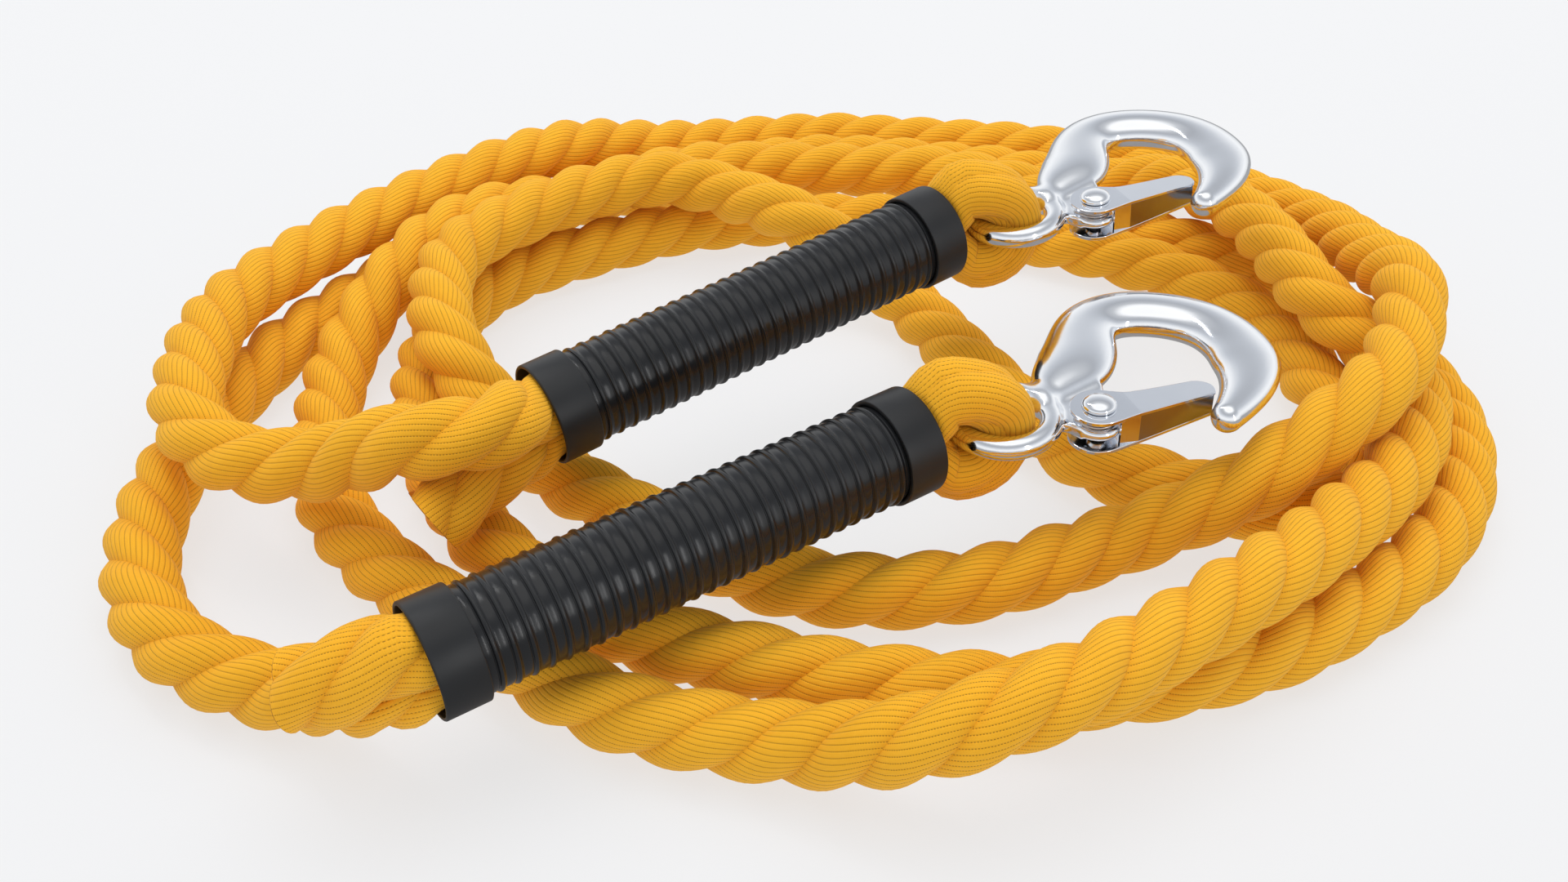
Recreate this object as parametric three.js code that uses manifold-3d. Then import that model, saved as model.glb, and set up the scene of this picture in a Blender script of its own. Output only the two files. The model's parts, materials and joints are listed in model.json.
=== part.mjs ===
// A vehicle tow rope: one three-strand laid rope lying in a loose coil, each end doubled back
// through the eye of a snap hook and clamped inside a ribbed sleeve.
// Millimetres, +Z up. The origin is on the ground at the middle of the coil.
import * as THREE from 'three';
import { mergeVertices } from 'three/addons/utils/BufferGeometryUtils.js';
import Module from 'manifold-3d';

// ---- driving dimensions ----------------------------------------------------------------------
const ROPE_R = 9.7;             // radius of the plain solid that stands for the laid rope
const HALF_GAP = 0.5;           // half the gap between two rope surfaces that lie side by side
const GAP = 0.3;                // clearance between separate pieces

// sleeve
const SLEEVE_L = 130;           // collar face to collar face
const COLLAR_L = 11;
const COLLAR_R = 13.8;
const COLLAR_LIP = 1.6;         // the lip that closes over the tube's cut end
const TUBE_CREST_R = 13.0;
const TUBE_VALLEY_R = 12.4;
const TUBE_END_R = TUBE_VALLEY_R - 0.1;     // the plain ends, under the collars
const TUBE_BORE_R = 12.0;
const COLLAR_BORE_R = TUBE_VALLEY_R + 0.25;
const RIB_PITCH = 4.0;
const BAND_W = 12;              // crimp band width
const BAND_OUTER_R = 11.5;
const BAND_INNER_R = 10.9;
const BAND_AT = [-104, -34];    // centres along the sleeve, from its hook-side face

// rope legs inside the sleeve
const LEG_OFFSET = 6;           // each rope leg's centre from the sleeve axis
const LEG_ENVELOPE_R = 10.3;    // the two legs together, squeezed by the crimp bands
const LEG_FIRST_X = -SLEEVE_L + 14;
const LEG_STEP = 16;            // between the points of a leg's centreline
const LEG_END_X = -0.8;

// hook eye, and the rope's turn through it
const EYE_X = 22.2;             // hook eye centre, beyond the sleeve's hook-side face
const EYE_RING_R = 11.8;        // eye ring, centre of its wire
const EYE_WIRE_R = 3.0;
const BIGHT_R = 7.6;            // the rope is squeezed to this radius in the turn
const BIGHT_CENTRE_X = 10.4;    // centre of the turn, beyond the sleeve's hook-side face
const BIGHT_HALF_X = 11.0;      // the turn's half-axes
const BIGHT_HALF_Z = 11.6;
const BIGHT_HALF_ARC = 0.6;     // the turn reaches this far each way from +X, in half circles
const BIGHT_ARC_STEPS = 12;
const BIGHT_DRIFT_END_X = EYE_X - 3;    // the turn has drifted fully to the eye's middle here

// hook
const HOOK_TURN = -12;          // degrees the hook lies turned from the sleeve's line
const NOSE_OVERLAP = 0.02;
const BOSS_R = 5.1;
const BOSS_Z = [-3.1, 0.6];     // thinner than the body and low, to leave room for the spring
const PIVOT = [20.5, -10.6];    // latch rivet, in the hook's own plane
const CUT_HALF_Z = 12;          // cutting cylinders reach past the hook on both sides

// rivet
const RIVET_R = 2.2;
const RIVET_HEAD_R = 4.3;
const RIVET_HEAD_RIM = 0.4;     // straight edge below the dome
const RIVET_HEAD_H = 1.9;       // height of the dome
const RIVET_DOME_STEPS = 3;

// latch
const LATCH_HALF_Z = 4.8;       // outside of the latch's two plates at the rivet
const LATCH_TIP_HALF_Z = 3.5;   // and at the tip
const LATCH_SHEET = 1.0;
const LATCH_END_R = 7.2;        // rounded end about the rivet
const LATCH_END_ARC = { from: 50, span: 245, steps: 10 };   // degrees
const LATCH_ROOM = 0.5;         // between the rounded end and the hook's body
const LATCH_BEND_X = 8;         // where the web turns from the rounded end to the straight arm
const LATCH_TIP_X = 31.0;

// latch spring
const SPRING_WIRE_R = 0.3;
const SPRING_COIL_R = 4.3;
const SPRING_PITCH = 0.72;
const SPRING_COIL_STEPS = 30;
const SPRING_START_ANGLE = 200; // degrees
const SPRING_LEG_ANGLE = 3;     // degrees, along the latch's web
const SPRING_TURNS = 3;         // whole turns added to the end angle
const SPRING_SHORT_LEG = 4;
const SPRING_LONG_LEG = 9;

// sides of round sections
const COIL_SIDES = 8;
const ROPE_SIDES = 12;
const LATHE_SIDES = 12;
const DISC_SIDES = 20;
const HOLE_SIDES = 12;

// spacing of the sections along each swept bar
const COIL_SPACING = 18;
const BIGHT_SPACING = 4.4;
const HOOK_SPACING = 5.2;
const SPRING_SPACING = 2.0;
const LEG_SPACING = { sleeve: 30, mouth: 3.6, free: 9 };

// centres the coil's box over the origin and stands it on the ground
const GROUP_POSITION = [-0.03, -2.05, -0.4];

// ---- outlines in the hook's plane ------------------------------------------------------------
// the hook's bar from the eye to the nose: centreline x, y, then width and thickness there
const HOOK_BAR = [
  [12.6, 3.0, 6.4, 6.0], [16.6, 5.6, 11, 7.6], [21.2, 8.8, 15.6, 9.0], [26.4, 12.8, 16.6, 9.6],
  [32.0, 18.2, 16.2, 9.6], [36.6, 24.6, 16.2, 9.6], [42.0, 29.0, 16.2, 9.6], [50.0, 29.8, 16, 9.6],
  [57.4, 27.0, 15.8, 9.6], [63.8, 22.0, 15.4, 9.6], [68.2, 15.0, 15.2, 9.6], [69.7, 6.0, 15.4, 9.6],
  [68.6, -4.0, 14.6, 9.4], [63.4, -12.8, 11.2, 8.6], [56.2, -18.2, 8.2, 7.4],
  [50.2, -22.0, 6.6, 6.6],
];

// the neck that joins boss, ring and bar: x, y from the rivet
const NECK_OUTLINE = [[-3, -5.4], [6.2, 0.6], [8.6, 12.6], [3.5, 18.4], [-8.4, 12.6], [-9.6, 4.6]];

// a latch plate's arm, from the +Y side round the tip to the bend: x, y from the rivet
const LATCH_ARM = [
  [7.2, 3.0], [10, 2.4], [27, 1.2], [30.2, -0.6], [LATCH_TIP_X, -3.0], [30.2, -5.4],
  [LATCH_BEND_X, -6.6],
];

// the latch's web: x, y from the rivet
const WEB_OUTLINE = [
  [3.2, -6.5], [LATCH_BEND_X, -6.55], [30.0, -5.35],
  [30.0, -4.35], [LATCH_BEND_X, -5.55], [3.4, -5.5],
];

// ---- where the rope lies: x, y, z of centreline points ---------------------------------------
// the coil, from beside the rear end's bend to beside the front end's bend
const COIL_PATH = [
  [-136.7, -82.1, 32.3], [-151.7, -77.2, 30.9], [-164.2, -67.7, 31.4], [-171.8, -53.9, 31.8],
  [-175.7, -38.4, 31.3], [-178.0, -22.6, 30.7], [-179.0, -6.8, 30.0], [-176.9, 8.9, 29.1],
  [-171.5, 23.9, 28.4], [-164.3, 38.2, 28.2], [-156.2, 52.0, 28.2], [-147.3, 65.4, 28.2],
  [-137.3, 78.0, 28.3], [-126.3, 89.9, 28.7], [-114.8, 101.4, 29.0], [-103.5, 113.0, 28.4],
  [-92.1, 124.5, 26.5], [-80.3, 135.0, 22.9], [-67.6, 144.1, 18.5], [-54.1, 152.3, 14.8],
  [-39.8, 159.4, 12.2], [-24.8, 165.1, 10.8], [-9.2, 169.1, 10.2], [6.8, 170.4, 10.0],
  [22.9, 168.9, 10.0], [38.8, 166.3, 10.2], [54.5, 163.2, 10.7], [70.2, 159.8, 11.3],
  [85.5, 155.4, 11.7], [100.5, 149.9, 12.4], [114.7, 142.7, 13.4], [127.7, 133.4, 14.5],
  [139.0, 122.2, 15.7], [148.1, 109.2, 17.3], [155.3, 95.1, 19.5], [161.1, 80.5, 22.3],
  [165.4, 65.4, 25.7], [167.6, 50.0, 29.3], [168.3, 34.3, 32.7], [168.4, 18.6, 36.4],
  [168.2, 3.2, 41.3], [166.2, -12.2, 45.4], [161.0, -27.5, 44.6], [154.6, -42.2, 43.2],
  [146.1, -55.7, 42.2], [134.8, -66.5, 39.6], [122.2, -74.0, 33.8], [109.0, -79.9, 27.1],
  [95.6, -81.5, 18.7], [81.7, -82.0, 11.5], [67.0, -87.5, 10.0], [52.8, -94.8, 10.0],
  [38.0, -100.7, 10.0], [22.4, -103.6, 10.0], [6.4, -103.8, 10.0], [-9.3, -101.0, 10.0],
  [-23.9, -94.7, 10.0], [-37.1, -85.8, 10.0], [-49.5, -75.7, 10.0], [-62.0, -65.8, 10.0],
  [-74.4, -55.8, 10.6], [-85.9, -45.2, 13.3], [-96.0, -34.6, 19.4], [-105.0, -23.6, 26.2],
  [-111.9, -10.0, 29.3], [-115.5, 5.3, 29.8], [-117.2, 20.8, 30.2], [-115.4, 35.9, 30.4],
  [-108.2, 49.2, 30.4], [-98.7, 60.8, 30.5], [-87.7, 71.2, 30.7], [-75.8, 80.5, 30.6],
  [-62.3, 87.3, 30.5], [-47.4, 89.1, 29.9], [-33.3, 83.8, 27.9], [-21.4, 73.8, 28.7],
  [-9.8, 63.4, 29.2], [2.7, 55.5, 24.6], [15.1, 49.6, 16.9], [26.1, 40.0, 11.4],
  [34.0, 26.5, 10.0], [40.3, 11.9, 10.0], [46.9, -2.7, 10.0], [53.6, -17.1, 10.0],
  [60.9, -31.3, 10.0], [69.7, -44.5, 10.0], [81.3, -55.1, 10.0], [95.5, -62.0, 10.0],
  [110.1, -68.0, 10.0], [124.8, -71.2, 10.0], [137.0, -62.6, 10.0], [144.4, -49.0, 10.0],
  [148.3, -34.0, 10.0], [148.1, -18.4, 10.0], [147.4, -2.7, 10.0], [146.0, 13.1, 10.0],
  [140.6, 27.9, 10.0], [132.1, 41.3, 10.0], [122.1, 53.6, 10.0], [110.7, 64.6, 10.0],
  [97.5, 73.4, 10.0], [83.5, 80.9, 10.0], [69.1, 87.6, 10.0], [54.0, 92.7, 10.0],
  [38.4, 95.7, 10.0], [22.5, 97.2, 10.0], [6.6, 98.0, 10.0], [-9.4, 98.5, 10.0],
  [-25.3, 98.0, 10.0], [-41.0, 95.2, 10.0], [-55.8, 89.1, 10.0], [-69.8, 81.3, 10.0],
  [-83.6, 73.0, 10.0], [-96.6, 63.6, 10.0], [-107.5, 51.9, 10.0], [-114.9, 37.8, 10.0],
  [-119.4, 22.5, 10.0], [-121.1, 6.7, 10.0], [-120.1, -9.2, 10.0], [-117.5, -25.0, 10.0],
  [-113.2, -40.4, 10.0], [-106.6, -54.9, 10.0], [-99.0, -68.9, 10.0], [-90.5, -82.4, 10.0],
  [-80.7, -95.0, 10.0], [-69.0, -105.9, 10.0], [-55.9, -114.9, 10.0], [-41.6, -121.8, 10.0],
  [-26.5, -127.1, 10.0], [-11.2, -131.6, 10.0], [4.3, -135.3, 10.0], [20.1, -137.9, 10.0],
  [36.0, -139.0, 10.0], [52.0, -138.4, 10.0], [67.8, -135.9, 10.0], [83.4, -132.0, 10.0],
  [98.6, -126.7, 10.0], [113.0, -119.6, 10.0], [126.4, -110.6, 10.0], [139.2, -100.7, 10.0],
  [151.3, -90.0, 10.0], [161.5, -77.4, 10.0], [169.8, -63.4, 10.0], [176.0, -48.2, 10.0],
  [179.7, -32.3, 10.0], [180.2, -16.1, 10.0], [178.4, -0.2, 10.0], [174.0, 15.3, 10.0],
  [168.2, 30.2, 10.0], [161.1, 44.5, 10.0], [151.9, 57.5, 10.0], [140.8, 68.8, 10.0],
  [128.2, 78.6, 10.0], [114.7, 87.1, 10.0], [100.9, 94.9, 11.4], [87.1, 101.4, 15.5],
  [72.6, 107.3, 17.9], [58.3, 114.3, 18.3], [43.4, 119.8, 18.1], [27.7, 122.6, 17.9],
  [11.7, 123.3, 17.9], [-4.3, 123.3, 18.2], [-20.2, 122.4, 19.1], [-35.8, 119.2, 20.7],
  [-50.5, 113.2, 22.1], [-64.9, 106.1, 21.9], [-79.1, 98.6, 20.8], [-92.7, 90.0, 21.5],
  [-105.6, 80.3, 24.1], [-117.3, 69.2, 25.8], [-127.0, 56.2, 25.6], [-134.2, 42.0, 23.9],
  [-139.5, 27.5, 20.3], [-144.2, 13.1, 15.2], [-146.7, -2.1, 11.4], [-146.0, -17.9, 10.1],
  [-143.7, -33.7, 10.0], [-140.3, -49.3, 10.0], [-134.9, -64.3, 10.0], [-127.2, -78.3, 10.0],
  [-117.4, -90.8, 10.0], [-106.1, -102.2, 10.0], [-93.9, -112.4, 10.0], [-81.3, -122.2, 10.0],
  [-69.0, -132.3, 10.0], [-56.0, -141.4, 10.0], [-41.4, -147.9, 10.0], [-26.0, -151.9, 10.0],
  [-10.7, -155.9, 11.4], [3.4, -161.2, 16.4], [16.8, -165.6, 23.5], [31.5, -165.0, 28.8],
  [46.1, -159.1, 30.4], [59.7, -150.7, 30.0], [72.8, -141.8, 29.8], [85.7, -132.6, 30.5],
  [98.2, -122.7, 29.9], [110.1, -112.2, 28.8], [121.4, -101.2, 27.5], [132.6, -90.0, 25.8],
  [143.1, -78.1, 24.6], [152.3, -65.2, 24.5], [159.5, -51.0, 24.1], [163.7, -36.0, 23.3],
  [163.5, -20.7, 23.9], [155.1, -8.7, 28.5], [147.6, 4.5, 31.3], [145.4, 20.1, 31.8],
  [144.0, 35.9, 31.8], [141.9, 51.7, 31.3], [138.1, 67.2, 30.5], [132.1, 82.0, 29.8],
  [124.4, 95.7, 26.3], [115.1, 107.5, 20.1], [104.0, 117.7, 14.2], [92.0, 128.0, 11.1],
  [78.2, 135.9, 10.1], [62.9, 140.5, 10.0], [47.3, 143.8, 10.0], [31.7, 146.8, 10.0],
  [16.0, 149.2, 10.0], [0.2, 149.4, 10.0], [-15.3, 146.6, 10.0], [-30.2, 141.1, 10.0],
  [-44.7, 134.5, 10.0], [-59.0, 127.4, 10.0], [-73.4, 120.5, 10.0], [-87.7, 113.2, 10.0],
  [-101.0, 104.3, 10.0], [-112.7, 93.5, 10.0], [-123.2, 81.5, 10.0], [-133.3, 69.0, 10.0],
  [-142.7, 56.0, 10.0], [-151.1, 42.4, 10.0], [-158.8, 28.4, 10.0], [-166.0, 14.3, 10.0],
  [-171.7, -0.5, 10.0], [-175.4, -16.0, 10.0], [-178.2, -31.7, 10.0], [-179.9, -47.5, 10.0],
  [-180.2, -63.5, 10.0], [-178.6, -79.3, 10.0], [-174.7, -94.8, 10.0], [-168.3, -109.4, 10.0],
  [-158.6, -121.9, 10.0], [-145.7, -131.2, 10.0],
];

// The two ends. from, to: the middles of the sleeve's rope-side and hook-side faces. eye: the
// hook eye's y and z from the sleeve's axis. standingSide: 1 where the standing leg lies above
// the tail in the sleeve, -1 where it lies below. standing, tail: the rope up to the sleeve.
const ENDS = [
  {
    name: 'rear',
    from: [-74.21, -69.27, 39.05],
    to: [32.55, 3.31, 54.35],
    eye: [-8, -1],
    standingSide: 1,
    standing: [
      [-126.8, -84.6, 35.0], [-119.7, -86.6, 38.2], [-113.0, -88.7, 41.9], [-106.1, -90.8, 45.4],
      [-98.6, -92.3, 47.2], [-90.8, -91.7, 47.9], [-83.9, -88.1, 47.7], [-78.6, -82.2, 47.0],
      [-74.4, -75.4, 46.4], [-70.2, -68.7, 46.1],
    ],
    tail: [
      [-97.7, -99.0, 28.6], [-93.5, -92.2, 29.0], [-89.1, -85.7, 30.6], [-84.2, -79.6, 31.6],
      [-78.7, -73.9, 32.5],
    ],
  },
  {
    name: 'front',
    from: [-88.73, -154.70, 34.46],
    to: [20.14, -84.10, 42.34],
    eye: [-7.2, 0],
    standingSide: -1,
    standing: [
      [-136.0, -135.6, 10.1], [-128.5, -138.2, 10.7], [-121.1, -140.8, 12.2],
      [-114.2, -144.0, 14.8], [-107.8, -147.6, 18.1], [-101.7, -151.2, 21.8],
      [-95.3, -154.0, 25.6],
    ],
    tail: [
      [-113.7, -160.6, 31.7], [-106.2, -160.8, 34.2], [-98.8, -159.6, 37.0],
      [-91.9, -156.5, 39.4],
    ],
  },
];

// ---- materials -------------------------------------------------------------------------------
const FINISH = {
  rope: { color: 0xf2a127, roughness: 0.85, metalness: 0 },
  sleeve: { color: 0x242527, roughness: 0.45, metalness: 0 },
  collar: { color: 0x202123, roughness: 0.5, metalness: 0 },
  chrome: { color: 0xd6d9de, roughness: 0.12, metalness: 1 },
  band: { color: 0x9da0a4, roughness: 0.35, metalness: 1 },
  spring: { color: 0xb9bcc0, roughness: 0.3, metalness: 1 },
};

// ---- helpers ---------------------------------------------------------------------------------
const wasm = await Module();
wasm.setup();

const { degToRad, smoothstep } = THREE.MathUtils;
const vector = ([x, y, z]) => new THREE.Vector3(x, y, z);

// positions only, with shared vertices
const bare = (geometry) => {
  geometry.deleteAttribute('normal');
  geometry.deleteAttribute('uv');
  return mergeVertices(geometry, 1e-4);
};

// a manifold solid from a closed geometry, turned right side out
const solid = (geometry) => {
  const merged = bare(geometry);
  const index = Uint32Array.from(merged.index.array);
  const position = merged.attributes.position;
  const [a, b, c] = [0, 1, 2].map(() => new THREE.Vector3());
  let volume = 0;
  for (let i = 0; i < index.length; i += 3) {
    [a, b, c].forEach((corner, j) => corner.fromBufferAttribute(position, index[i + j]));
    volume += a.dot(b.cross(c));
  }
  if (volume < 0) {
    for (let i = 0; i < index.length; i += 3) {
      [index[i], index[i + 1]] = [index[i + 1], index[i]];
    }
  }
  const vertProperties = Float32Array.from(position.array);
  return new wasm.Manifold(new wasm.Mesh({ numProp: 3, vertProperties, triVerts: index }));
};

const toGeometry = (manifold) => {
  const mesh = manifold.getMesh();
  const geometry = new THREE.BufferGeometry();
  const positions = Float32Array.from(mesh.vertProperties);
  geometry.setAttribute('position', new THREE.BufferAttribute(positions, 3));
  geometry.setIndex(new THREE.BufferAttribute(Uint32Array.from(mesh.triVerts), 1));
  geometry.computeVertexNormals();
  return geometry;
};

const add = (parent, name, geometry, finish) => {
  const mesh = new THREE.Mesh(geometry, new THREE.MeshStandardMaterial(FINISH[finish]));
  mesh.name = name;
  parent.add(mesh);
};

const shapeOf = (points) => new THREE.Shape(points.map(([x, y]) => new THREE.Vector2(x, y)));

const circle = (radius, sides) => {
  const points = [];
  for (let i = 0; i < sides; i++) {
    const angle = (2 * Math.PI * (i + 0.5)) / sides;
    points.push([radius * Math.cos(angle), radius * Math.sin(angle)]);
  }
  const shape = shapeOf(points);
  shape.closePath();
  return shape;
};

const nearestIndex = (points, target) => {
  let nearest = 0;
  let best = Infinity;
  points.forEach((point, i) => {
    const squared = point.distanceToSquared(target);
    if (squared < best) {
      best = squared;
      nearest = i;
    }
  });
  return nearest;
};

// a smooth curve through the points whose sections are spaced by spacing(point)
class Bar extends THREE.CatmullRomCurve3 {
  constructor(points, spacing) {
    super(points);
    this.arcLengthDivisions = 40 * points.length;
    const samples = 600;
    const length = this.getLength();
    const sum = [0];
    for (let i = 0; i < samples; i++) {
      const point = this.getPoint(super.getUtoTmapping((i + 0.5) / samples));
      sum.push(sum[i] + length / samples / spacing(point));
    }
    const total = sum[samples];
    this.steps = Math.max(4, Math.round(total));
    this.sum = sum.map((value) => value / total);
  }

  getUtoTmapping(u) {
    const { sum } = this;
    let i = 1;
    while (i < sum.length - 1 && sum[i] < u) i++;
    const fraction = (u - sum[i - 1]) / (sum[i] - sum[i - 1]);
    return super.getUtoTmapping(Math.min(1, (i - 1 + fraction) / (sum.length - 1)));
  }
}

// a round bar swept along the points; reshape(vertex, centre) may then move each vertex
const sweep = (points, radius, spacing, sides, reshape) => {
  const curve = new Bar(points, spacing);
  const { steps } = curve;
  const options = { steps, extrudePath: curve, bevelEnabled: false };
  const geometry = bare(new THREE.ExtrudeGeometry(circle(radius, sides), options));
  if (reshape) {
    const centres = curve.getSpacedPoints(steps);
    const position = geometry.attributes.position;
    const vertex = new THREE.Vector3();
    for (let i = 0; i < position.count; i++) {
      vertex.fromBufferAttribute(position, i);
      reshape(vertex, centres[nearestIndex(centres, vertex)]);
      position.setXYZ(i, vertex.x, vertex.y, vertex.z);
    }
  }
  return geometry;
};

// a lathe's or cylinder's axis is Y; turn it to run along +X or +Z
const alongX = (geometry) => geometry.rotateZ(-Math.PI / 2);
const alongZ = (geometry) => geometry.rotateX(Math.PI / 2);

const lathe = (profile) => (
  new THREE.LatheGeometry(profile.map(([r, y]) => new THREE.Vector2(r, y)), LATHE_SIDES)
);

// a hollow turning about X from a closed profile of [radius, x]
const ringAlongX = (profile) => alongX(lathe([...profile, profile[0]]));

const slab = (shape, bottom, depth) => (
  new THREE.ExtrudeGeometry(shape, { depth, steps: 1, bevelEnabled: false }).translate(0, 0, bottom)
);

const disc = ([x, y], radius, [bottom, top], sides) => (
  solid(alongZ(new THREE.CylinderGeometry(radius, radius, top - bottom, sides))
    .translate(x, y, (bottom + top) / 2))
);

const cutter = (centre, radius, sides) => disc(centre, radius, [-CUT_HALF_Z, CUT_HALF_Z], sides);

// ---- rope at one end -------------------------------------------------------------------------
// the frame of one end: origin at the middle of the sleeve's hook-side face, +X along the
// sleeve towards the hook, +Y level, +Z square to both
const endFrame = ({ from, to }) => {
  const x = vector(to).sub(vector(from)).normalize();
  const y = new THREE.Vector3(0, 0, 1).cross(x).normalize();
  const z = x.clone().cross(y);
  return new THREE.Matrix4().makeBasis(x, y, z).setPosition(vector(to));
};

// a leg's centreline: the given points, then straight through the sleeve above or below its axis
const legLine = (points, toLocal, side) => {
  const line = points.map((point) => vector(point).applyMatrix4(toLocal));
  const z = side * LEG_OFFSET;
  for (let x = LEG_FIRST_X; x < -2; x += LEG_STEP) line.push(new THREE.Vector3(x, 0, z));
  line.push(new THREE.Vector3(LEG_END_X, 0, z));
  return line;
};

const distanceTo = (line, point) => {
  const segment = new THREE.Line3();
  const closest = new THREE.Vector3();
  let distance = Infinity;
  for (let i = 0; i + 1 < line.length; i++) {
    segment.set(line[i], line[i + 1]);
    segment.closestPointToPoint(point, true, closest);
    distance = Math.min(distance, closest.distanceTo(point));
  }
  return distance;
};

// where two legs lie closer than a rope's width, each keeps to its own side of the surface half
// way between them
const flatten = (vertex, centre, own, other) => {
  const inside = (point) => distanceTo(other, point) - distanceTo(own, point) > 2 * HALF_GAP;
  if (inside(vertex)) return;
  const from = centre.clone();
  const to = vertex.clone();
  for (let i = 0; i < 14; i++) {
    vertex.addVectors(from, to).multiplyScalar(0.5);
    if (inside(vertex)) from.copy(vertex);
    else to.copy(vertex);
  }
  vertex.copy(from);
};

// inside the sleeve the legs are squeezed to one round bundle, which opens out beyond the mouths
const squeeze = (vertex) => {
  const outside = Math.max(-SLEEVE_L - 1.5 - vertex.x, vertex.x - 0.5, 0);
  const limit = LEG_ENVELOPE_R + 1.0 * outside + 0.15 * outside * outside;
  const radius = Math.hypot(vertex.y, vertex.z);
  if (radius > limit) {
    vertex.y *= limit / radius;
    vertex.z *= limit / radius;
  }
};

// few sections where the legs run straight inside the sleeve, many at its mouth
const legSpacing = ({ x }) => {
  if (x > -SLEEVE_L + 12) return LEG_SPACING.sleeve;
  return x > -SLEEVE_L - 16 ? LEG_SPACING.mouth : LEG_SPACING.free;
};

const ropeLeg = (own, other) => solid(sweep(own, ROPE_R, legSpacing, ROPE_SIDES, (vertex, centre) => {
  flatten(vertex, centre, own, other);
  squeeze(vertex);
}));

// a ball that rounds off the standing leg where it meets the coil
const knuckle = ({ x, y, z }) => (
  solid(new THREE.SphereGeometry(ROPE_R * 1.002, 12, 8).translate(x, y, z))
);

// the turn through the eye, drifting sideways to the eye's middle
const bightLine = ([eyeY, eyeZ]) => {
  const start = [
    [0, 0, LEG_OFFSET], [0.7, 0, LEG_OFFSET], [1.4, 0, LEG_OFFSET + 0.1],
    [3.2, -0.4, LEG_OFFSET + 1.6],
  ];
  const line = start.map(vector);
  for (let i = 0; i <= BIGHT_ARC_STEPS; i++) {
    const angle = Math.PI * BIGHT_HALF_ARC * (1 - 2 * (i / BIGHT_ARC_STEPS));
    const x = BIGHT_CENTRE_X + BIGHT_HALF_X * Math.cos(angle);
    const drift = smoothstep(x, 0, BIGHT_DRIFT_END_X);
    const z = BIGHT_HALF_Z * Math.sin(angle) + eyeZ * drift;
    line.push(new THREE.Vector3(x, eyeY * drift, z));
  }
  line.push(...start.reverse().map(([x, y, z]) => new THREE.Vector3(x, y, -z)));
  return line;
};

const ropeBight = (eye) => {
  const reshape = (vertex, centre) => {
    if (centre.x < BIGHT_CENTRE_X) {
      vertex.x = Math.max(vertex.x, 0.2 * centre.x);
      // the two sides of the turn stay apart, and clear of the eye ring
      const room = HALF_GAP + (centre.x > 5 ? EYE_WIRE_R - eye[1] : 0);
      const side = Math.sign(centre.z);
      if (side * vertex.z < room) vertex.z = side * room;
    }
    squeeze(vertex);
  };
  return solid(sweep(bightLine(eye), BIGHT_R, () => BIGHT_SPACING, ROPE_SIDES, reshape));
};

// ---- sleeve: a ribbed tube with a plain collar over each end, and crimp bands inside ---------
const sleeveTube = () => {
  const first = -SLEEVE_L + COLLAR_LIP + GAP;
  const last = -COLLAR_LIP - GAP;
  const ribsFrom = -SLEEVE_L + COLLAR_L;
  const profile = [[TUBE_BORE_R, first], [TUBE_END_R, first], [TUBE_END_R, ribsFrom]];
  for (let x = ribsFrom; x + RIB_PITCH / 2 < -COLLAR_L; x += RIB_PITCH) {
    profile.push([TUBE_CREST_R, x + RIB_PITCH / 2]);
    if (x + RIB_PITCH < -COLLAR_L - 1) profile.push([TUBE_VALLEY_R, x + RIB_PITCH]);
  }
  profile.push([TUBE_END_R, -COLLAR_L], [TUBE_END_R, last], [TUBE_BORE_R, last]);
  return ringAlongX(profile);
};

// its lipped face is at x = 0 and it opens towards +X
const collar = () => ringAlongX([
  [TUBE_BORE_R, 0], [COLLAR_R, 0], [COLLAR_R, COLLAR_L - GAP], [COLLAR_BORE_R, COLLAR_L - GAP],
  [COLLAR_BORE_R, COLLAR_LIP], [TUBE_BORE_R, COLLAR_LIP],
]);

const crimpBand = () => ringAlongX([
  [BAND_INNER_R, -BAND_W / 2], [BAND_OUTER_R, -BAND_W / 2],
  [BAND_OUTER_R, BAND_W / 2], [BAND_INNER_R, BAND_W / 2],
]);

const addSleeve = (end, name) => {
  const addTurned = (part, geometry, finish) => {
    add(end, `${name}_${part}`, toGeometry(solid(geometry)), finish);
  };
  addTurned('sleeve_tube', sleeveTube(), 'sleeve');
  addTurned('collar_rope_side', collar().translate(-SLEEVE_L, 0, 0), 'collar');
  addTurned('collar_hook_side', collar().rotateZ(Math.PI), 'collar');
  BAND_AT.forEach((x, i) => {
    addTurned(`crimp_band_${i + 1}`, crimpBand().translate(x, 0, 0), 'band');
  });
};

// ---- hook, in its own frame: origin at the eye's middle, +X towards the bow ------------------
// an oval bar that widens from the eye and narrows to the nose
const hookBar = () => {
  const spine = HOOK_BAR.map(([x, y]) => new THREE.Vector3(x, y, 0));
  const halfSizes = HOOK_BAR.map(([, , width, depth]) => new THREE.Vector3(width / 2, depth / 2, 0));
  const sizeCurve = new THREE.CatmullRomCurve3(halfSizes);
  const divisions = 300;
  const samples = new THREE.CatmullRomCurve3(spine).getPoints(divisions);
  return solid(sweep(spine, 1, () => HOOK_SPACING, 12, (vertex, { x, y }) => {
    const nearest = nearestIndex(samples, new THREE.Vector3(x, y, 0));
    const half = sizeCurve.getPoint(nearest / divisions);
    vertex.set(x + (vertex.x - x) * half.x, y + (vertex.y - y) * half.x, vertex.z * half.y);
  }));
};

const hookNose = () => {
  const [x, y, width, thickness] = HOOK_BAR.at(-1);
  const ball = new THREE.SphereGeometry(width / 2 + NOSE_OVERLAP, 12, 8);
  return solid(ball.scale(1, 1, thickness / width).translate(x, y, 0));
};

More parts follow.
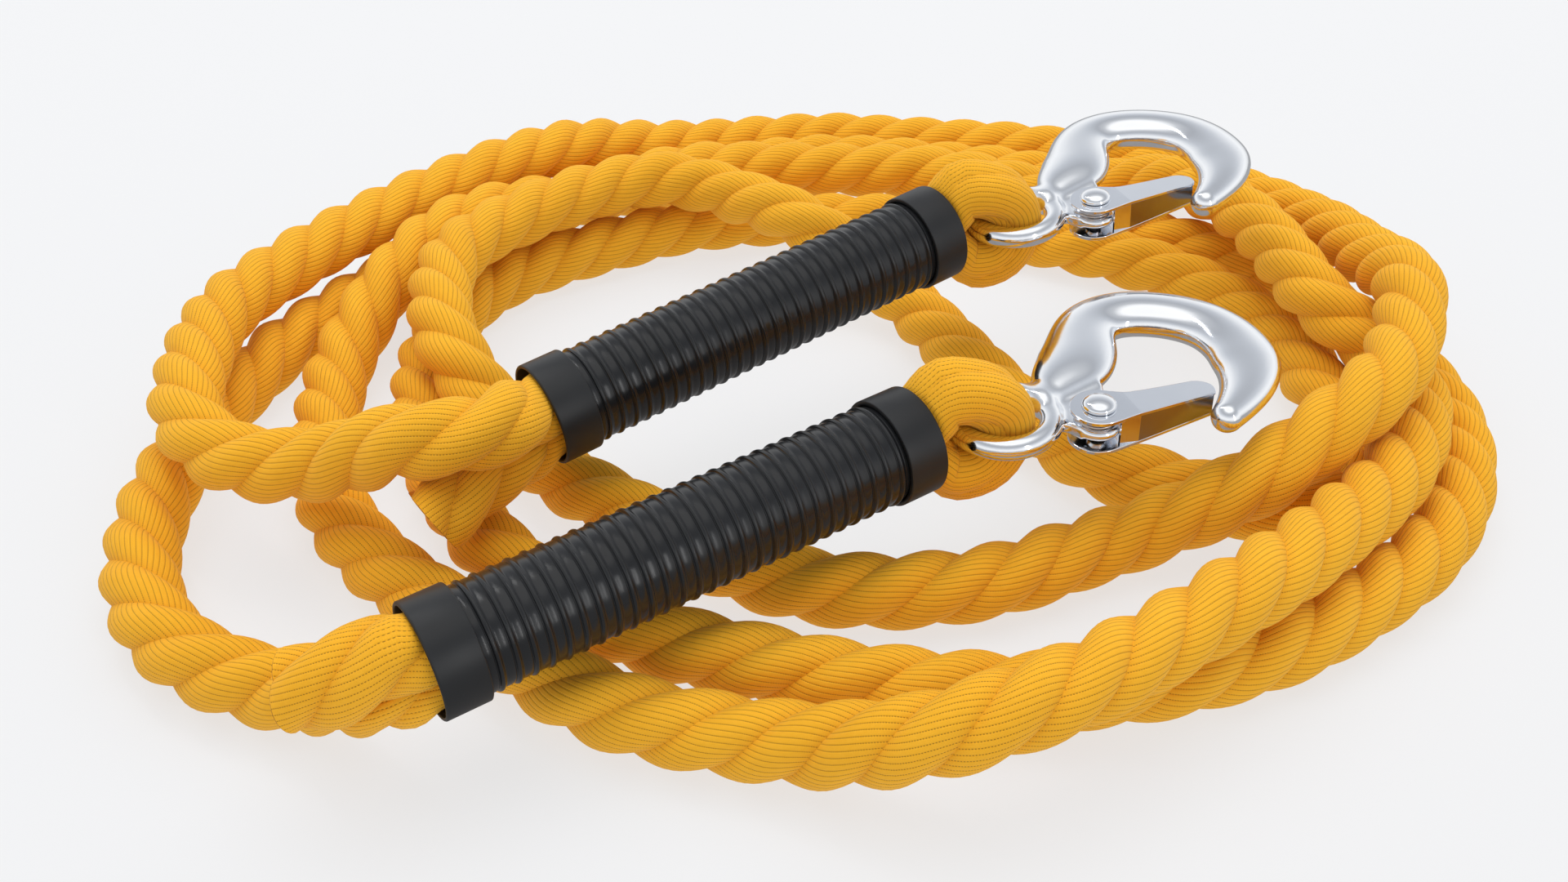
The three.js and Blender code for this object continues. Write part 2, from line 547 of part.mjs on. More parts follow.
const hookNeck = () => {
  const outline = NECK_OUTLINE.map(([x, y]) => [PIVOT[0] + x, PIVOT[1] + y]);
  return solid(slab(shapeOf(outline), BOSS_Z[0], BOSS_Z[1] - BOSS_Z[0]));
};

const hookBody = () => toGeometry(hookBar()
  .add(hookNose())
  .add(solid(new THREE.TorusGeometry(EYE_RING_R, EYE_WIRE_R, 8, 24)))
  .subtract(cutter(PIVOT, LATCH_END_R + LATCH_ROOM, DISC_SIDES))
  .add(disc(PIVOT, BOSS_R, BOSS_Z, DISC_SIDES))
  .add(hookNeck())
  .subtract(cutter(PIVOT, RIVET_R + GAP, HOLE_SIDES)));

// ---- latch: two plates and a web along their -Y edge; origin at the rivet --------------------
const latchPlate = (bottom) => {
  const { from, span, steps } = LATCH_END_ARC;
  const outline = [];
  for (let i = 0; i <= steps; i++) {
    const angle = degToRad(from + (span * i) / steps);
    outline.push([LATCH_END_R * Math.cos(angle), LATCH_END_R * Math.sin(angle)]);
  }
  const shape = shapeOf([...outline, ...[...LATCH_ARM].reverse()]);
  shape.closePath();
  return solid(slab(shape, bottom, LATCH_SHEET));
};

const latch = () => {
  const inner = LATCH_HALF_Z - LATCH_SHEET;
  const webBottom = -LATCH_HALF_Z + LATCH_SHEET / 2;
  const web = solid(slab(shapeOf(WEB_OUTLINE), webBottom, 2 * LATCH_HALF_Z - LATCH_SHEET));
  const geometry = toGeometry(latchPlate(-LATCH_HALF_Z)
    .add(latchPlate(inner))
    .add(web)
    .subtract(cutter([0, 0], RIVET_R + GAP, HOLE_SIDES)));
  // the two plates draw together towards the tip
  const position = geometry.attributes.position;
  for (let i = 0; i < position.count; i++) {
    const x = position.getX(i);
    const z = position.getZ(i);
    const fraction = Math.max(0, (x - LATCH_BEND_X) / (LATCH_TIP_X - LATCH_BEND_X));
    const shift = (LATCH_HALF_Z - LATCH_TIP_HALF_Z) * fraction;
    if (Math.abs(z) > inner - 0.01) position.setZ(i, Math.sign(z) * (Math.abs(z) - shift));
  }
  return geometry;
};

// ---- rivet: a shank with a domed head on each side of the latch ------------------------------
const rivet = () => {
  const headZ = LATCH_HALF_Z + GAP;
  const half = [[RIVET_R, headZ], [RIVET_HEAD_R, headZ]];
  for (let i = 0; i < RIVET_DOME_STEPS; i++) {
    const angle = (Math.PI / 2) * (i / RIVET_DOME_STEPS);
    const z = headZ + RIVET_HEAD_RIM + RIVET_HEAD_H * Math.sin(angle);
    half.push([RIVET_HEAD_R * Math.cos(angle), z]);
  }
  half.push([0, headZ + RIVET_HEAD_RIM + RIVET_HEAD_H]);
  const mirrored = half.map(([r, z]) => [r, -z]).reverse();
  return toGeometry(solid(alongZ(lathe([...mirrored, ...half])).translate(...PIVOT, 0)));
};

// ---- torsion spring round the rivet: a short straight leg at one end of the coil, and a long
// one along the inside of the latch's web at the other
const spring = () => {
  const bottom = BOSS_Z[1] + GAP + SPRING_WIRE_R;
  const start = degToRad(SPRING_START_ANGLE);
  const finish = degToRad(SPRING_LEG_ANGLE - 90 + SPRING_TURNS * 360);
  const rise = SPRING_PITCH / (2 * Math.PI);
  // a point on the coil, moved along its tangent
  const wirePoint = (angle, tangent) => new THREE.Vector3(
    PIVOT[0] + SPRING_COIL_R * Math.cos(angle) - tangent * Math.sin(angle),
    PIVOT[1] + SPRING_COIL_R * Math.sin(angle) + tangent * Math.cos(angle),
    bottom + rise * (angle - start),
  );
  const wire = [wirePoint(start, -SPRING_SHORT_LEG)];
  for (let i = 0; i <= SPRING_COIL_STEPS; i++) {
    wire.push(wirePoint(start + (finish - start) * (i / SPRING_COIL_STEPS), 0));
  }
  wire.push(wirePoint(finish, SPRING_LONG_LEG));
  return toGeometry(solid(sweep(wire, SPRING_WIRE_R, () => SPRING_SPACING, 4)));
};

// ---- assembly --------------------------------------------------------------------------------
const addRope = (end, { name, eye, standingSide, standing, tail }, toLocal) => {
  const standingLine = legLine(standing, toLocal, standingSide);
  const tailLine = legLine(tail, toLocal, -standingSide);
  const standingLeg = ropeLeg(standingLine, tailLine).add(knuckle(standingLine[0]));
  add(end, `${name}_rope_standing_leg`, toGeometry(standingLeg), 'rope');
  add(end, `${name}_rope_tail`, toGeometry(ropeLeg(tailLine, standingLine)), 'rope');
  add(end, `${name}_rope_bight`, toGeometry(ropeBight(eye)), 'rope');
};

const addHook = (end, { name, eye }) => {
  const hook = new THREE.Group();
  hook.position.set(EYE_X, ...eye);
  hook.rotation.z = degToRad(HOOK_TURN);
  end.add(hook);
  add(hook, `${name}_hook`, hookBody(), 'chrome');

  const latchGroup = new THREE.Group();
  latchGroup.position.set(...PIVOT, 0);
  hook.add(latchGroup);
  add(latchGroup, `${name}_latch`, latch(), 'chrome');
  add(hook, `${name}_latch_rivet`, rivet(), 'chrome');
  add(hook, `${name}_latch_spring`, spring(), 'spring');
};

const object = new THREE.Group();
const coil = sweep(COIL_PATH.map(vector), ROPE_R, () => COIL_SPACING, COIL_SIDES);
add(object, 'rope_coil', toGeometry(solid(coil)), 'rope');

ENDS.forEach((place) => {
  const end = new THREE.Group();
  end.matrixAutoUpdate = false;
  end.matrix.copy(endFrame(place));
  object.add(end);
  addRope(end, place, end.matrix.clone().invert());
  addSleeve(end, place.name);
  addHook(end, place);
});

object.position.set(...GROUP_POSITION);
object.updateMatrixWorld(true);
export default object;
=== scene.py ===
# A vehicle tow rope with a snap hook at each end, lying on the floor at Z = 0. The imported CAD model
# gives every place; this script builds the looks on it: three laid strands along the rope, ribbed
# sleeves, forged chrome hooks, folded latches, rivets and springs. The ends are called rear and front.
# Lengths are millimetres; mesh_object turns them into metres. Lights and camera are in metres.
import json
import math

import bpy
import numpy as np
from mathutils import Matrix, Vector


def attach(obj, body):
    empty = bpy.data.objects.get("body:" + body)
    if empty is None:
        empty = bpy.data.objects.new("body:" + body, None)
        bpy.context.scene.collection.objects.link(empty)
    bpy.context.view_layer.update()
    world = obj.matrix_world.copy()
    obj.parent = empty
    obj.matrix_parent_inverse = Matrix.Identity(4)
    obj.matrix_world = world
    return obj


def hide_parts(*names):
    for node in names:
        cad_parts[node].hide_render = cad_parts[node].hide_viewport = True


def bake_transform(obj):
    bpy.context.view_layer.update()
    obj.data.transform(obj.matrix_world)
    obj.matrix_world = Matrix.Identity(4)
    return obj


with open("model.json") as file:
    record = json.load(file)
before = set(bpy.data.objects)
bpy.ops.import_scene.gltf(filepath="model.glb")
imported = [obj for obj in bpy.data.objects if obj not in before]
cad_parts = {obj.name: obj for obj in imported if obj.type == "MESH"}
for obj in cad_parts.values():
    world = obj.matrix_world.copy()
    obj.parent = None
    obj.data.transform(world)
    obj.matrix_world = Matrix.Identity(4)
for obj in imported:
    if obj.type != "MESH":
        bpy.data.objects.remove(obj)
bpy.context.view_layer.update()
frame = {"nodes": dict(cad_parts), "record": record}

JOINTS = {joint["name"]: joint for joint in frame["record"]["behaviour"]["joints"]}
NODES = frame["nodes"]
RNG = np.random.default_rng(7)

# ---- rope ----
ROPE_R = 9.85
STRAND_C = 3.35            # from the rope's centre to a strand's centre
STRAND_R = ROPE_R - STRAND_C
STRANDS = 3
LAY = 50.0                 # length of one whole turn of a strand
YARNS = 29                 # ribs of yarn round one strand
COLUMNS = 22               # faces round one strand
STEP = 2.0                 # between path samples
BIGHT_SCALE = 0.87         # rope size in the turn through the hook's eye
BIGHT_MID_X = 10.4
HALF_BEND = 24.0           # half the length of the rope piece about an end's lift joint, between the coil and that end
COIL_PIECES = 5
# ---- sleeve ----
SLEEVE_L = 130.0
COLLAR_L = 11.0
COLLAR_R = 13.8
COLLAR_GAP = 0.3           # a collar stops this much short of the ribs
BORE_R = 11.9
TUBE_INSET = 7.6           # the tube's ends lie this deep inside the collars
RIB_PITCH = 4.0
VALLEY_R = 12.42
CREST_R = 12.98
# ---- hook, in its own frame: origin at the eye's middle, X towards the bow ----
EYE_RING_R, EYE_WIRE_R = 11.8, 3.0
LATCH_PIVOT = np.array([20.5, -10.6, 0.0])
# ---- latch, about its pivot ----
LATCH_HALF_Z, LATCH_TIP_HALF_Z, LATCH_SHEET, LATCH_END_R = 4.8, 3.5, 1.0, 7.2


# ---------------------------------------------------------------- small tools
def smooth_step(x):
    x = np.clip(x, 0, 1)
    return x * x * (3 - 2 * x)


def unit(vector):
    vector = np.asarray(vector, float)
    return vector / np.linalg.norm(vector)


def to_frame(points, origin, axes):
    offset = np.asarray(points, float) - origin
    return np.stack([offset @ axis for axis in axes], -1)


def from_frame(points, origin, axes):
    p = np.asarray(points, float)
    return origin + p[..., :1] * axes[0] + p[..., 1:2] * axes[1] + p[..., 2:3] * axes[2]


def arc_lengths(line):
    return np.concatenate([[0], np.cumsum(np.linalg.norm(np.diff(line, axis=0), axis=1))])


def interp_columns(places, known, table):
    return np.stack([np.interp(places, known, column) for column in table.T], -1)


def resample(points, step):
    """a natural cubic spline through the points, at even steps, and the length run at each step"""
    knots = np.asarray(points, float)
    chords = np.linalg.norm(np.diff(knots, axis=0), axis=1)
    t = np.concatenate([[0], np.cumsum(np.sqrt(chords))])       # centripetal parameter
    count = len(knots)
    span = np.diff(t)
    matrix = np.zeros((count, count))
    rhs = np.zeros((count, 3))
    matrix[0, 0] = matrix[-1, -1] = 1
    for i in range(1, count - 1):
        matrix[i, i - 1:i + 2] = span[i - 1], 2 * (span[i - 1] + span[i]), span[i]
        rhs[i] = 6 * ((knots[i + 1] - knots[i]) / span[i] - (knots[i] - knots[i - 1]) / span[i - 1])
    bend = np.linalg.solve(matrix, rhs)                         # second derivatives at the knots
    dense = np.linspace(0, t[-1], count * 30)
    k = np.clip(np.searchsorted(t, dense, side="right") - 1, 0, count - 2)
    ahead = (t[k + 1] - dense)[:, None]
    behind = (dense - t[k])[:, None]
    width = span[k][:, None]
    curve = ((bend[k] * ahead ** 3 + bend[k + 1] * behind ** 3) / (6 * width)
             + (knots[k] / width - bend[k] * width / 6) * ahead
             + (knots[k + 1] / width - bend[k + 1] * width / 6) * behind)
    run = arc_lengths(curve)
    even = np.linspace(0, run[-1], max(2, int(round(run[-1] / step)) + 1))
    return interp_columns(even, run, curve), even


def path_frames(path):
    """tangent, normal and binormal along a path, turned as little as possible"""
    tangents = np.gradient(path, axis=0)
    tangents /= np.linalg.norm(tangents, axis=1, keepdims=True)
    normals = np.zeros_like(tangents)
    normals[0] = unit(np.cross([0, 0, 1.0], tangents[0]))
    for i in range(1, len(tangents)):
        axis = np.cross(tangents[i - 1], tangents[i])
        sine = np.linalg.norm(axis)
        normal = normals[i - 1]
        if sine > 1e-9:
            axis /= sine
            cosine = float(np.clip(tangents[i - 1] @ tangents[i], -1, 1))
            normal = (normal * cosine + np.cross(axis, normal) * sine
                      + axis * (axis @ normal) * (1 - cosine))
        normals[i] = unit(normal - tangents[i] * (normal @ tangents[i]))
    return tangents, normals, np.cross(tangents, normals)


def distance_to_line(points, line):
    """distance from points to a polyline, in chunks"""
    out = np.empty(len(points))
    start = line[:-1]
    edge = line[1:] - start
    squared = (edge ** 2).sum(1) + 1e-12
    for k in range(0, len(points), 4000):
        offset = points[k:k + 4000][:, None, :] - start[None]
        t = np.clip((offset * edge).sum(-1) / squared, 0, 1)
        gap = offset - edge[None] * t[..., None]
        out[k:k + 4000] = np.sqrt((gap ** 2).sum(-1).min(1))
    return out


# ---------------------------------------------------------------- meshes
def mesh_object(name, verts_mm, faces, shade=True):
    mesh = bpy.data.meshes.new(name)
    verts = (np.asarray(verts_mm, float) / 1000.0).tolist()
    mesh.from_pydata(verts, [], [list(map(int, face)) for face in faces])
    if shade:
        mesh.polygons.foreach_set("use_smooth", np.ones(len(mesh.polygons), bool))
    mesh.update()
    obj = bpy.data.objects.new(name, mesh)
    bpy.context.scene.collection.objects.link(obj)
    return obj


def fit_out(obj, materials, carrier, replaced):
    """materials of a piece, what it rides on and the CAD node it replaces"""
    for material in materials:
        obj.data.materials.append(material)
    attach(obj, carrier)
    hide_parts(replaced)


def grid_faces(rows, cols, closed=False):
    i = np.arange(rows - 1)[:, None]
    j = np.arange(cols if closed else cols - 1)[None, :]
    k = (j + 1) % cols
    corners = [i * cols + j, i * cols + k, (i + 1) * cols + k, (i + 1) * cols + j]
    return np.stack(corners, -1).reshape(-1, 4)


def join(parts):
    verts, faces, base = [], [], 0
    for part_verts, part_faces in parts:
        verts.append(np.asarray(part_verts, float))
        faces += [[int(i) + base for i in face] for face in part_faces]
        base += len(part_verts)
    return np.vstack(verts), faces


def lathe(profile, segments):
    """(x, radius) points turned about the X axis"""
    p = np.asarray(profile, float)
    a = np.linspace(0, 2 * math.pi, segments, endpoint=False)
    x = np.repeat(p[:, :1], segments, 1)
    verts = np.stack([x, p[:, 1:2] * np.cos(a), p[:, 1:2] * np.sin(a)], -1)
    return verts.reshape(-1, 3), grid_faces(len(p), segments, closed=True)


# ---------------------------------------------------------------- reading the CAD model
def cad_points(node):
    return np.array([v.co for v in NODES[node].data.vertices], float).reshape(-1, 3) * 1000


def welded(node):
    """the CAD node's corner points, each once, and which of them share an edge"""
    corners, index = np.unique(np.round(cad_points(node), 2), axis=0, return_inverse=True)
    index = index.reshape(-1)
    near = [set() for _ in range(len(corners))]
    for poly in NODES[node].data.polygons:
        ids = [int(index[i]) for i in poly.vertices]
        for a, b in zip(ids, ids[1:] + ids[:1]):
            if a != b:
                near[a].add(b)
                near[b].add(a)
    return corners, near


def sections(node, pick_first, count):
    """section centres of a swept CAD solid with count corners round it, from the picked section on"""
    corners, near = welded(node)
    ring = set(pick_first(corners))
    seen = set(ring)
    centres = []
    while len(ring) == count:
        centres.append(corners[list(ring)].mean(0))
        following = set()
        for i in ring:
            following |= near[i]
        ring = following - seen
        seen |= ring
    return np.array(centres)


def joint_place(name):
    return np.array(JOINTS[name]["pos_m"], float) * 1000


class End:
    """An end's two frames. The sleeve's has its origin at the mouth on the hook side, X out of the
    mouth and Z near the hook's swing axis. The hook's is at the eye, with Z on the swing axis."""

    def __init__(self, name):
        self.name = name
        rope_side = cad_points(name + "_collar_rope_side")
        hook_side = cad_points(name + "_collar_hook_side")
        middle = hook_side.mean(0)
        along = unit(middle - rope_side.mean(0))
        swing = np.array(JOINTS[name + "_hook_swing"]["axis"], float)
        up = unit(swing - along * (swing @ along))
        self.axes = (along, np.cross(up, along), up)
        self.origin = middle + along * ((hook_side - middle) @ along).max()
        self.lift = joint_place(name + "_end_lift")
        self.eye = joint_place(name + "_hook_swing")
        swing = unit(swing)
        to_rivet = joint_place(name + "_latch_open") - self.eye
        to_rivet = unit(to_rivet - swing * (to_rivet @ swing))
        turn = -math.atan2(LATCH_PIVOT[1], LATCH_PIVOT[0])
        hook_x = to_rivet * math.cos(turn) + np.cross(swing, to_rivet) * math.sin(turn)
        self.hook_axes = (hook_x, np.cross(swing, hook_x), swing)

    def local(self, points):
        return to_frame(points, self.origin, self.axes)

    def world(self, points):
        return from_frame(points, self.origin, self.axes)

    def hook_local(self, points):
        return to_frame(points, self.eye, self.hook_axes)

    def hook_world(self, points):
        return from_frame(points, self.eye, self.hook_axes)


ENDS = {name: End(name) for name in ("rear", "front")}


# ---------------------------------------------------------------- the rope's path
MOUTH_SECTION_X = -0.8     # the CAD rope's sections nearest the mouth
# the turn through the eye: x, y, z of its start, then an arc, then the start mirrored
BIGHT_START = [(0, 0, 6.0), (0.7, 0, 6.0), (1.4, 0, 6.1), (3.2, -0.4, 7.6)]
BIGHT_REACH, BIGHT_HALF_Z, BIGHT_ARC = 11.0, 11.6, 0.6 * math.pi
BIGHT_DRIFT_X = 19.2       # by this x the turn has drifted sideways to the eye


def end_rope(end, top):
    """centres of an end's tail, turn and standing leg, from the cut tail to the lift joint;
    top is the side in Z the standing leg lies on"""
    def mouth_section(side):
        def pick(corners):
            q = end.local(corners)
            at_mouth = np.abs(q[:, 0] - MOUTH_SECTION_X) < 0.35
            return np.where(at_mouth & (q[:, 2] * side > 0))[0].tolist()
        return pick

    tail = sections(end.name + "_rope_tail", mouth_section(-top), 12)[::-1]
    arc = [(BIGHT_MID_X + BIGHT_REACH * math.cos(a), 0, BIGHT_HALF_Z * math.sin(a))
           for a in np.linspace(BIGHT_ARC, -BIGHT_ARC, 13)]
    finish = [(x, y, -z) for x, y, z in BIGHT_START[::-1]]
    bight = np.array(BIGHT_START + arc + finish) * (1, 1, -top)
    eye = end.local(end.eye)
    drift = smooth_step(bight[:, 0] / BIGHT_DRIFT_X)
    bight[:, 1] += drift * eye[1]
    bight[:, 2] += drift * eye[2]
    leg = sections(end.name + "_rope_standing_leg", mouth_section(top), 12)
    far = np.linalg.norm(leg - end.lift, axis=1) > 5
    leg = leg[:len(leg) if far.all() else int(np.argmin(far))]
    return tail, end.world(bight), np.vstack([leg, end.lift])


def thin(points, least):
    keep = [points[0]]
    for point in points[1:]:
        if np.linalg.norm(point - keep[-1]) > least:
            keep.append(point)
    return np.array(keep)


def rope_route():
    def coil_start(corners):
        return np.argsort(np.linalg.norm(corners - ENDS["rear"].lift, axis=1))[:8].tolist()

    front = [part[::-1] for part in end_rope(ENDS["front"], -1)[::-1]]
    return np.vstack([*end_rope(ENDS["rear"], 1), sections("rope_coil", coil_start, 8), *front])


PATH, LENGTHS = resample(thin(rope_route(), 2.6), STEP)
TANGENTS, NORMALS, BINORMALS = path_frames(PATH)


def length_at(point):
    return float(LENGTHS[np.argmin(np.linalg.norm(PATH - point, axis=1))])


def sample_at(length):
    return int(np.argmin(np.abs(LENGTHS - length)))


REAR_LIFT, FRONT_LIFT = length_at(ENDS["rear"].lift), length_at(ENDS["front"].lift)
SPANS = {"rear": (0, REAR_LIFT), "front": (FRONT_LIFT, LENGTHS[-1])}

# period and depth of the slow unevenness along the lay
UNEVENNESS = [(310.0, 0.006), (127.0, 0.006), (61.0, 0.005)]
UNEVEN_OFFSET = 0.006
CALM_UNTWIST = 0.72        # share of the lay's turning lost where the rope is calm
CALM_DRAW_IN = 0.9         # and how far the strands' centres move in


def rope_size_and_calm():
    """scale of the rope's section, and calm: 1 where the doubled end runs through the eye and
    the strands lie closer and turn less"""
    scale = np.ones(len(LENGTHS))
    calm = np.zeros(len(LENGTHS))
    for name, end in ENDS.items():
        start, stop = SPANS[name]
        inside = (LENGTHS >= start) & (LENGTHS <= stop)
        x = end.local(PATH)[:, 0]
        squeezed = 1 - (1 - BIGHT_SCALE) * smooth_step((x - 1) / 14.0)
        scale = np.where(inside & (x > -20), squeezed, scale)
        calm = np.where(inside & (x > -30), smooth_step((x + 26) / 24.0), calm)
    uneven = np.zeros(len(LENGTHS))
    for period, depth in UNEVENNESS:
        uneven += depth * np.sin(2 * math.pi * LENGTHS / period + RNG.uniform(0, 6.28))
    return scale * (1 + uneven - UNEVEN_OFFSET), calm


def lay_angles():
    rate = -2 * math.pi / LAY * (1 - CALM_UNTWIST * CALM)
    return np.concatenate([[0], np.cumsum((rate[1:] + rate[:-1]) / 2 * np.diff(LENGTHS))])


SCALE, CALM = rope_size_and_calm()
LAY_ANGLE = lay_angles()

# ---------------------------------------------------------------- fitting the rope to an end
LEG_GAP = 0.25             # how much nearer its own leg's centre a vertex has to be
TURN_GAP = 0.3             # each half of the turn keeps this far from the middle plane
TURN_GAP_X = 8.5           # up to this x
RING_CLEARANCE = 0.12
SQUEEZE_R = 11.5           # rope radius inside the sleeve
MOUTH_FLARE, MOUTH_DEPTH = 1.15, 6.0
SQUEEZE_REACH = 26         # the squeeze ends this far beyond the sleeve
SQUEEZE_POWER = 7


def part_legs(points, centres, own, other):
    """draws vertices that reach into the other leg back towards their own centre"""
    near = distance_to_line(centres, other) < 2.3 * ROPE_R
    index = np.where(near & (centres[:, 0] < 2))[0]
    if not len(index):
        return
    centre = centres[index]
    spoke = points[index] - centre

    def clearance(place):
        return distance_to_line(place, other) - distance_to_line(place, own)

    too_far = clearance(points[index]) < LEG_GAP
    low, high = np.zeros(len(index)), np.ones(len(index))
    for _ in range(9):
        middle = (low + high) / 2
        clear = clearance(centre + spoke * middle[:, None]) > LEG_GAP
        low = np.where(clear, middle, low)
        high = np.where(clear, high, middle)
    points[index] = centre + spoke * np.where(too_far, low, 1.0)[:, None]


def part_turn(points, centres):
    """beyond the mouth the two halves of the turn stay apart"""
    turn = (centres[:, 0] >= 0) & (centres[:, 0] < BIGHT_MID_X)
    side = np.sign(centres[:, 2])
    low = turn & (points[:, 0] < TURN_GAP_X) & (side * points[:, 2] < TURN_GAP)
    points[low, 2] = (side * TURN_GAP)[low]
    points[turn, 0] = np.maximum(points[turn, 0], 0.2 * centres[turn, 0])


def clear_ring(end, points):
    """the rope gives way round the wire of the eye's ring"""
    h = end.hook_local(end.world(points))
    radius = np.maximum(np.hypot(h[:, 0], h[:, 1]), 1e-6)
    on_ring = np.stack([h[:, 0] / radius * EYE_RING_R, h[:, 1] / radius * EYE_RING_R,
                        np.zeros(len(h))], -1)
    offset = h - on_ring
    distance = np.maximum(np.linalg.norm(offset, axis=1), 1e-6)
    keep = EYE_WIRE_R + RING_CLEARANCE
    pushed = on_ring + offset * (keep / distance)[:, None]
    return end.local(end.hook_world(np.where((distance < keep)[:, None], pushed, h)))


def squeeze_into_sleeve(points):
    x = points[:, 0]
    beyond = np.maximum(np.maximum(-SLEEVE_L - x, x), 0)
    depth = np.minimum(x + SLEEVE_L, -x)
    limit = (SQUEEZE_R + MOUTH_FLARE * smooth_step(1 - depth / MOUTH_DEPTH)
             + 1.0 * beyond + 0.14 * beyond * beyond)
    ratio = np.hypot(points[:, 1], points[:, 2]) / limit
    shrink = 1 / (1 + ratio ** SQUEEZE_POWER) ** (1 / SQUEEZE_POWER)
    points[:, 1:] *= np.where(beyond > SQUEEZE_REACH, 1, shrink)[:, None]


def fit_to_end(end, points, samples):
    start, stop = SPANS[end.name]
    span = np.where((LENGTHS >= start) & (LENGTHS <= stop))[0]
    line = end.local(PATH[span])
    apex = int(np.argmax(line[:, 0]))
    legs = [leg[leg[:, 0] < 3] for leg in (line[:apex + 1], line[apex:])]
    local = end.local(points.reshape(-1, 3))
    centres = np.repeat(end.local(PATH[samples]), COLUMNS + 1, 0)
    before = np.repeat(np.searchsorted(span, samples) <= apex, COLUMNS + 1)
    # the half before the turn's furthest point and the half after it
    for mask, own, other in ((before, *legs), (~before, *legs[::-1])):
        if mask.any():
            half = local[mask]
            part_legs(half, centres[mask], own, other)
            part_turn(half, centres[mask])
            half = clear_ring(end, half)
            squeeze_into_sleeve(half)
            local[mask] = half
    return end.world(local).reshape(points.shape)


# ---------------------------------------------------------------- strands
SLANT = unit([-0.746, -0.519, -0.417])     # normal of the slanting cut, in the world
SLANT_FADE = 18.0
# a cut strand's edge rounds over to a flat face: size of each ring, and its push outwards
CUT_RINGS = [(0.995, 0.12), (0.975, 0.24), (0.93, 0.30), (0.55, 0.36), (0.25, 0.30)]
CUT_TIP_PUSH = 0.24
FLAT_RINGS = [(0.5, 0.0)]                  # where two pieces meet the strand is closed flat


def strand_points(samples, strand):
    """vertices of a strand, and yarn, along and crown at each: rows are path samples, columns go
    round the strand from its inner side"""
    turn = np.linspace(-math.pi, math.pi, COLUMNS + 1)
    around = (turn - 0.42 * np.sin(turn))[None]
    angle = (LAY_ANGLE[samples] + strand * 2 * math.pi / STRANDS)[:, None]
    scale = SCALE[samples][:, None]
    swell = 1 + 0.012 * np.sin(LENGTHS[samples] / 23.0 + strand * 2.1)[:, None]
    centre = STRAND_C - CALM_DRAW_IN * CALM[samples][:, None]
    radius = (ROPE_R - centre) * swell
    y = scale * (centre * np.cos(angle) + radius * np.cos(angle + around))
    z = scale * (centre * np.sin(angle) + radius * np.sin(angle + around))
    points = (PATH[samples][:, None, :] + y[..., None] * NORMALS[samples][:, None, :]
              + z[..., None] * BINORMALS[samples][:, None, :])
    yarn = YARNS * (around + angle * (1 + STRAND_C / STRAND_R)) / (2 * math.pi)
    along = np.broadcast_to(LENGTHS[samples][:, None], yarn.shape)
    crown = np.broadcast_to(np.cos(around), yarn.shape)
    return points, np.stack([yarn, along, crown], -1)


def slant_start(points, samples):
    """shears a strand's start to the slanting cut, fading out along it"""
    out = -TANGENTS[samples[0]]
    weight = (1 - smooth_step((LENGTHS[samples] - LENGTHS[samples[0]]) / SLANT_FADE))[:, None]
    across = (points - PATH[samples][:, None, :]) @ SLANT / float(out @ SLANT)
    return points - (across * weight)[..., None] * out


def strand_cap(edge, out, is_cut, flipped):
    middle = edge[:-1].mean(0)
    rings = [edge] + [middle + (edge - middle) * size + out * push
                      for size, push in (CUT_RINGS if is_cut else FLAT_RINGS)]
    verts = np.vstack(rings + [(middle + out * (CUT_TIP_PUSH if is_cut else 0.0))[None]])
    tip = len(verts) - 1
    quads = grid_faces(len(rings) + 1, len(edge))[:, ::(-1 if flipped else 1)]
    # the last row is the one tip vertex
    return verts, [list(dict.fromkeys(np.minimum(quad, tip).tolist())) for quad in quads]


def rope_piece(name, start, stop, end=None, cut_start=False, cut_stop=False):
    samples = np.arange(sample_at(start), sample_at(stop) + 1)
    parts, values = [], []
    for strand in range(STRANDS):
        points, strand_values = strand_points(samples, strand)
        if end is not None:
            points = fit_to_end(end, points, samples)
        if cut_start:
            points = slant_start(points, samples)
        parts.append((points.reshape(-1, 3), grid_faces(*points.shape[:2])))
        values.append(strand_values.reshape(-1, 3))
        for is_cut, row, sign in ((cut_start, 0, -1), (cut_stop, -1, 1)):
            cap = strand_cap(points[row], TANGENTS[samples[row]] * sign, is_cut, sign < 0)
            parts.append(cap)
            # a crown of -2 marks a cut face
            value = [0.5, strand_values[row, 0, 1], -2.0 if is_cut else 0.0]
            values.append(np.tile(value, (len(cap[0]), 1)))
    obj = mesh_object(name, *join(parts))
    for label, column in zip(("yarn", "along", "crown"), np.vstack(values).T):
        attribute = obj.data.attributes.new(label, "FLOAT", "POINT")
        attribute.data.foreach_set("value", np.ascontiguousarray(column, np.float32))
    obj.data.materials.append(ROPE)
    return obj


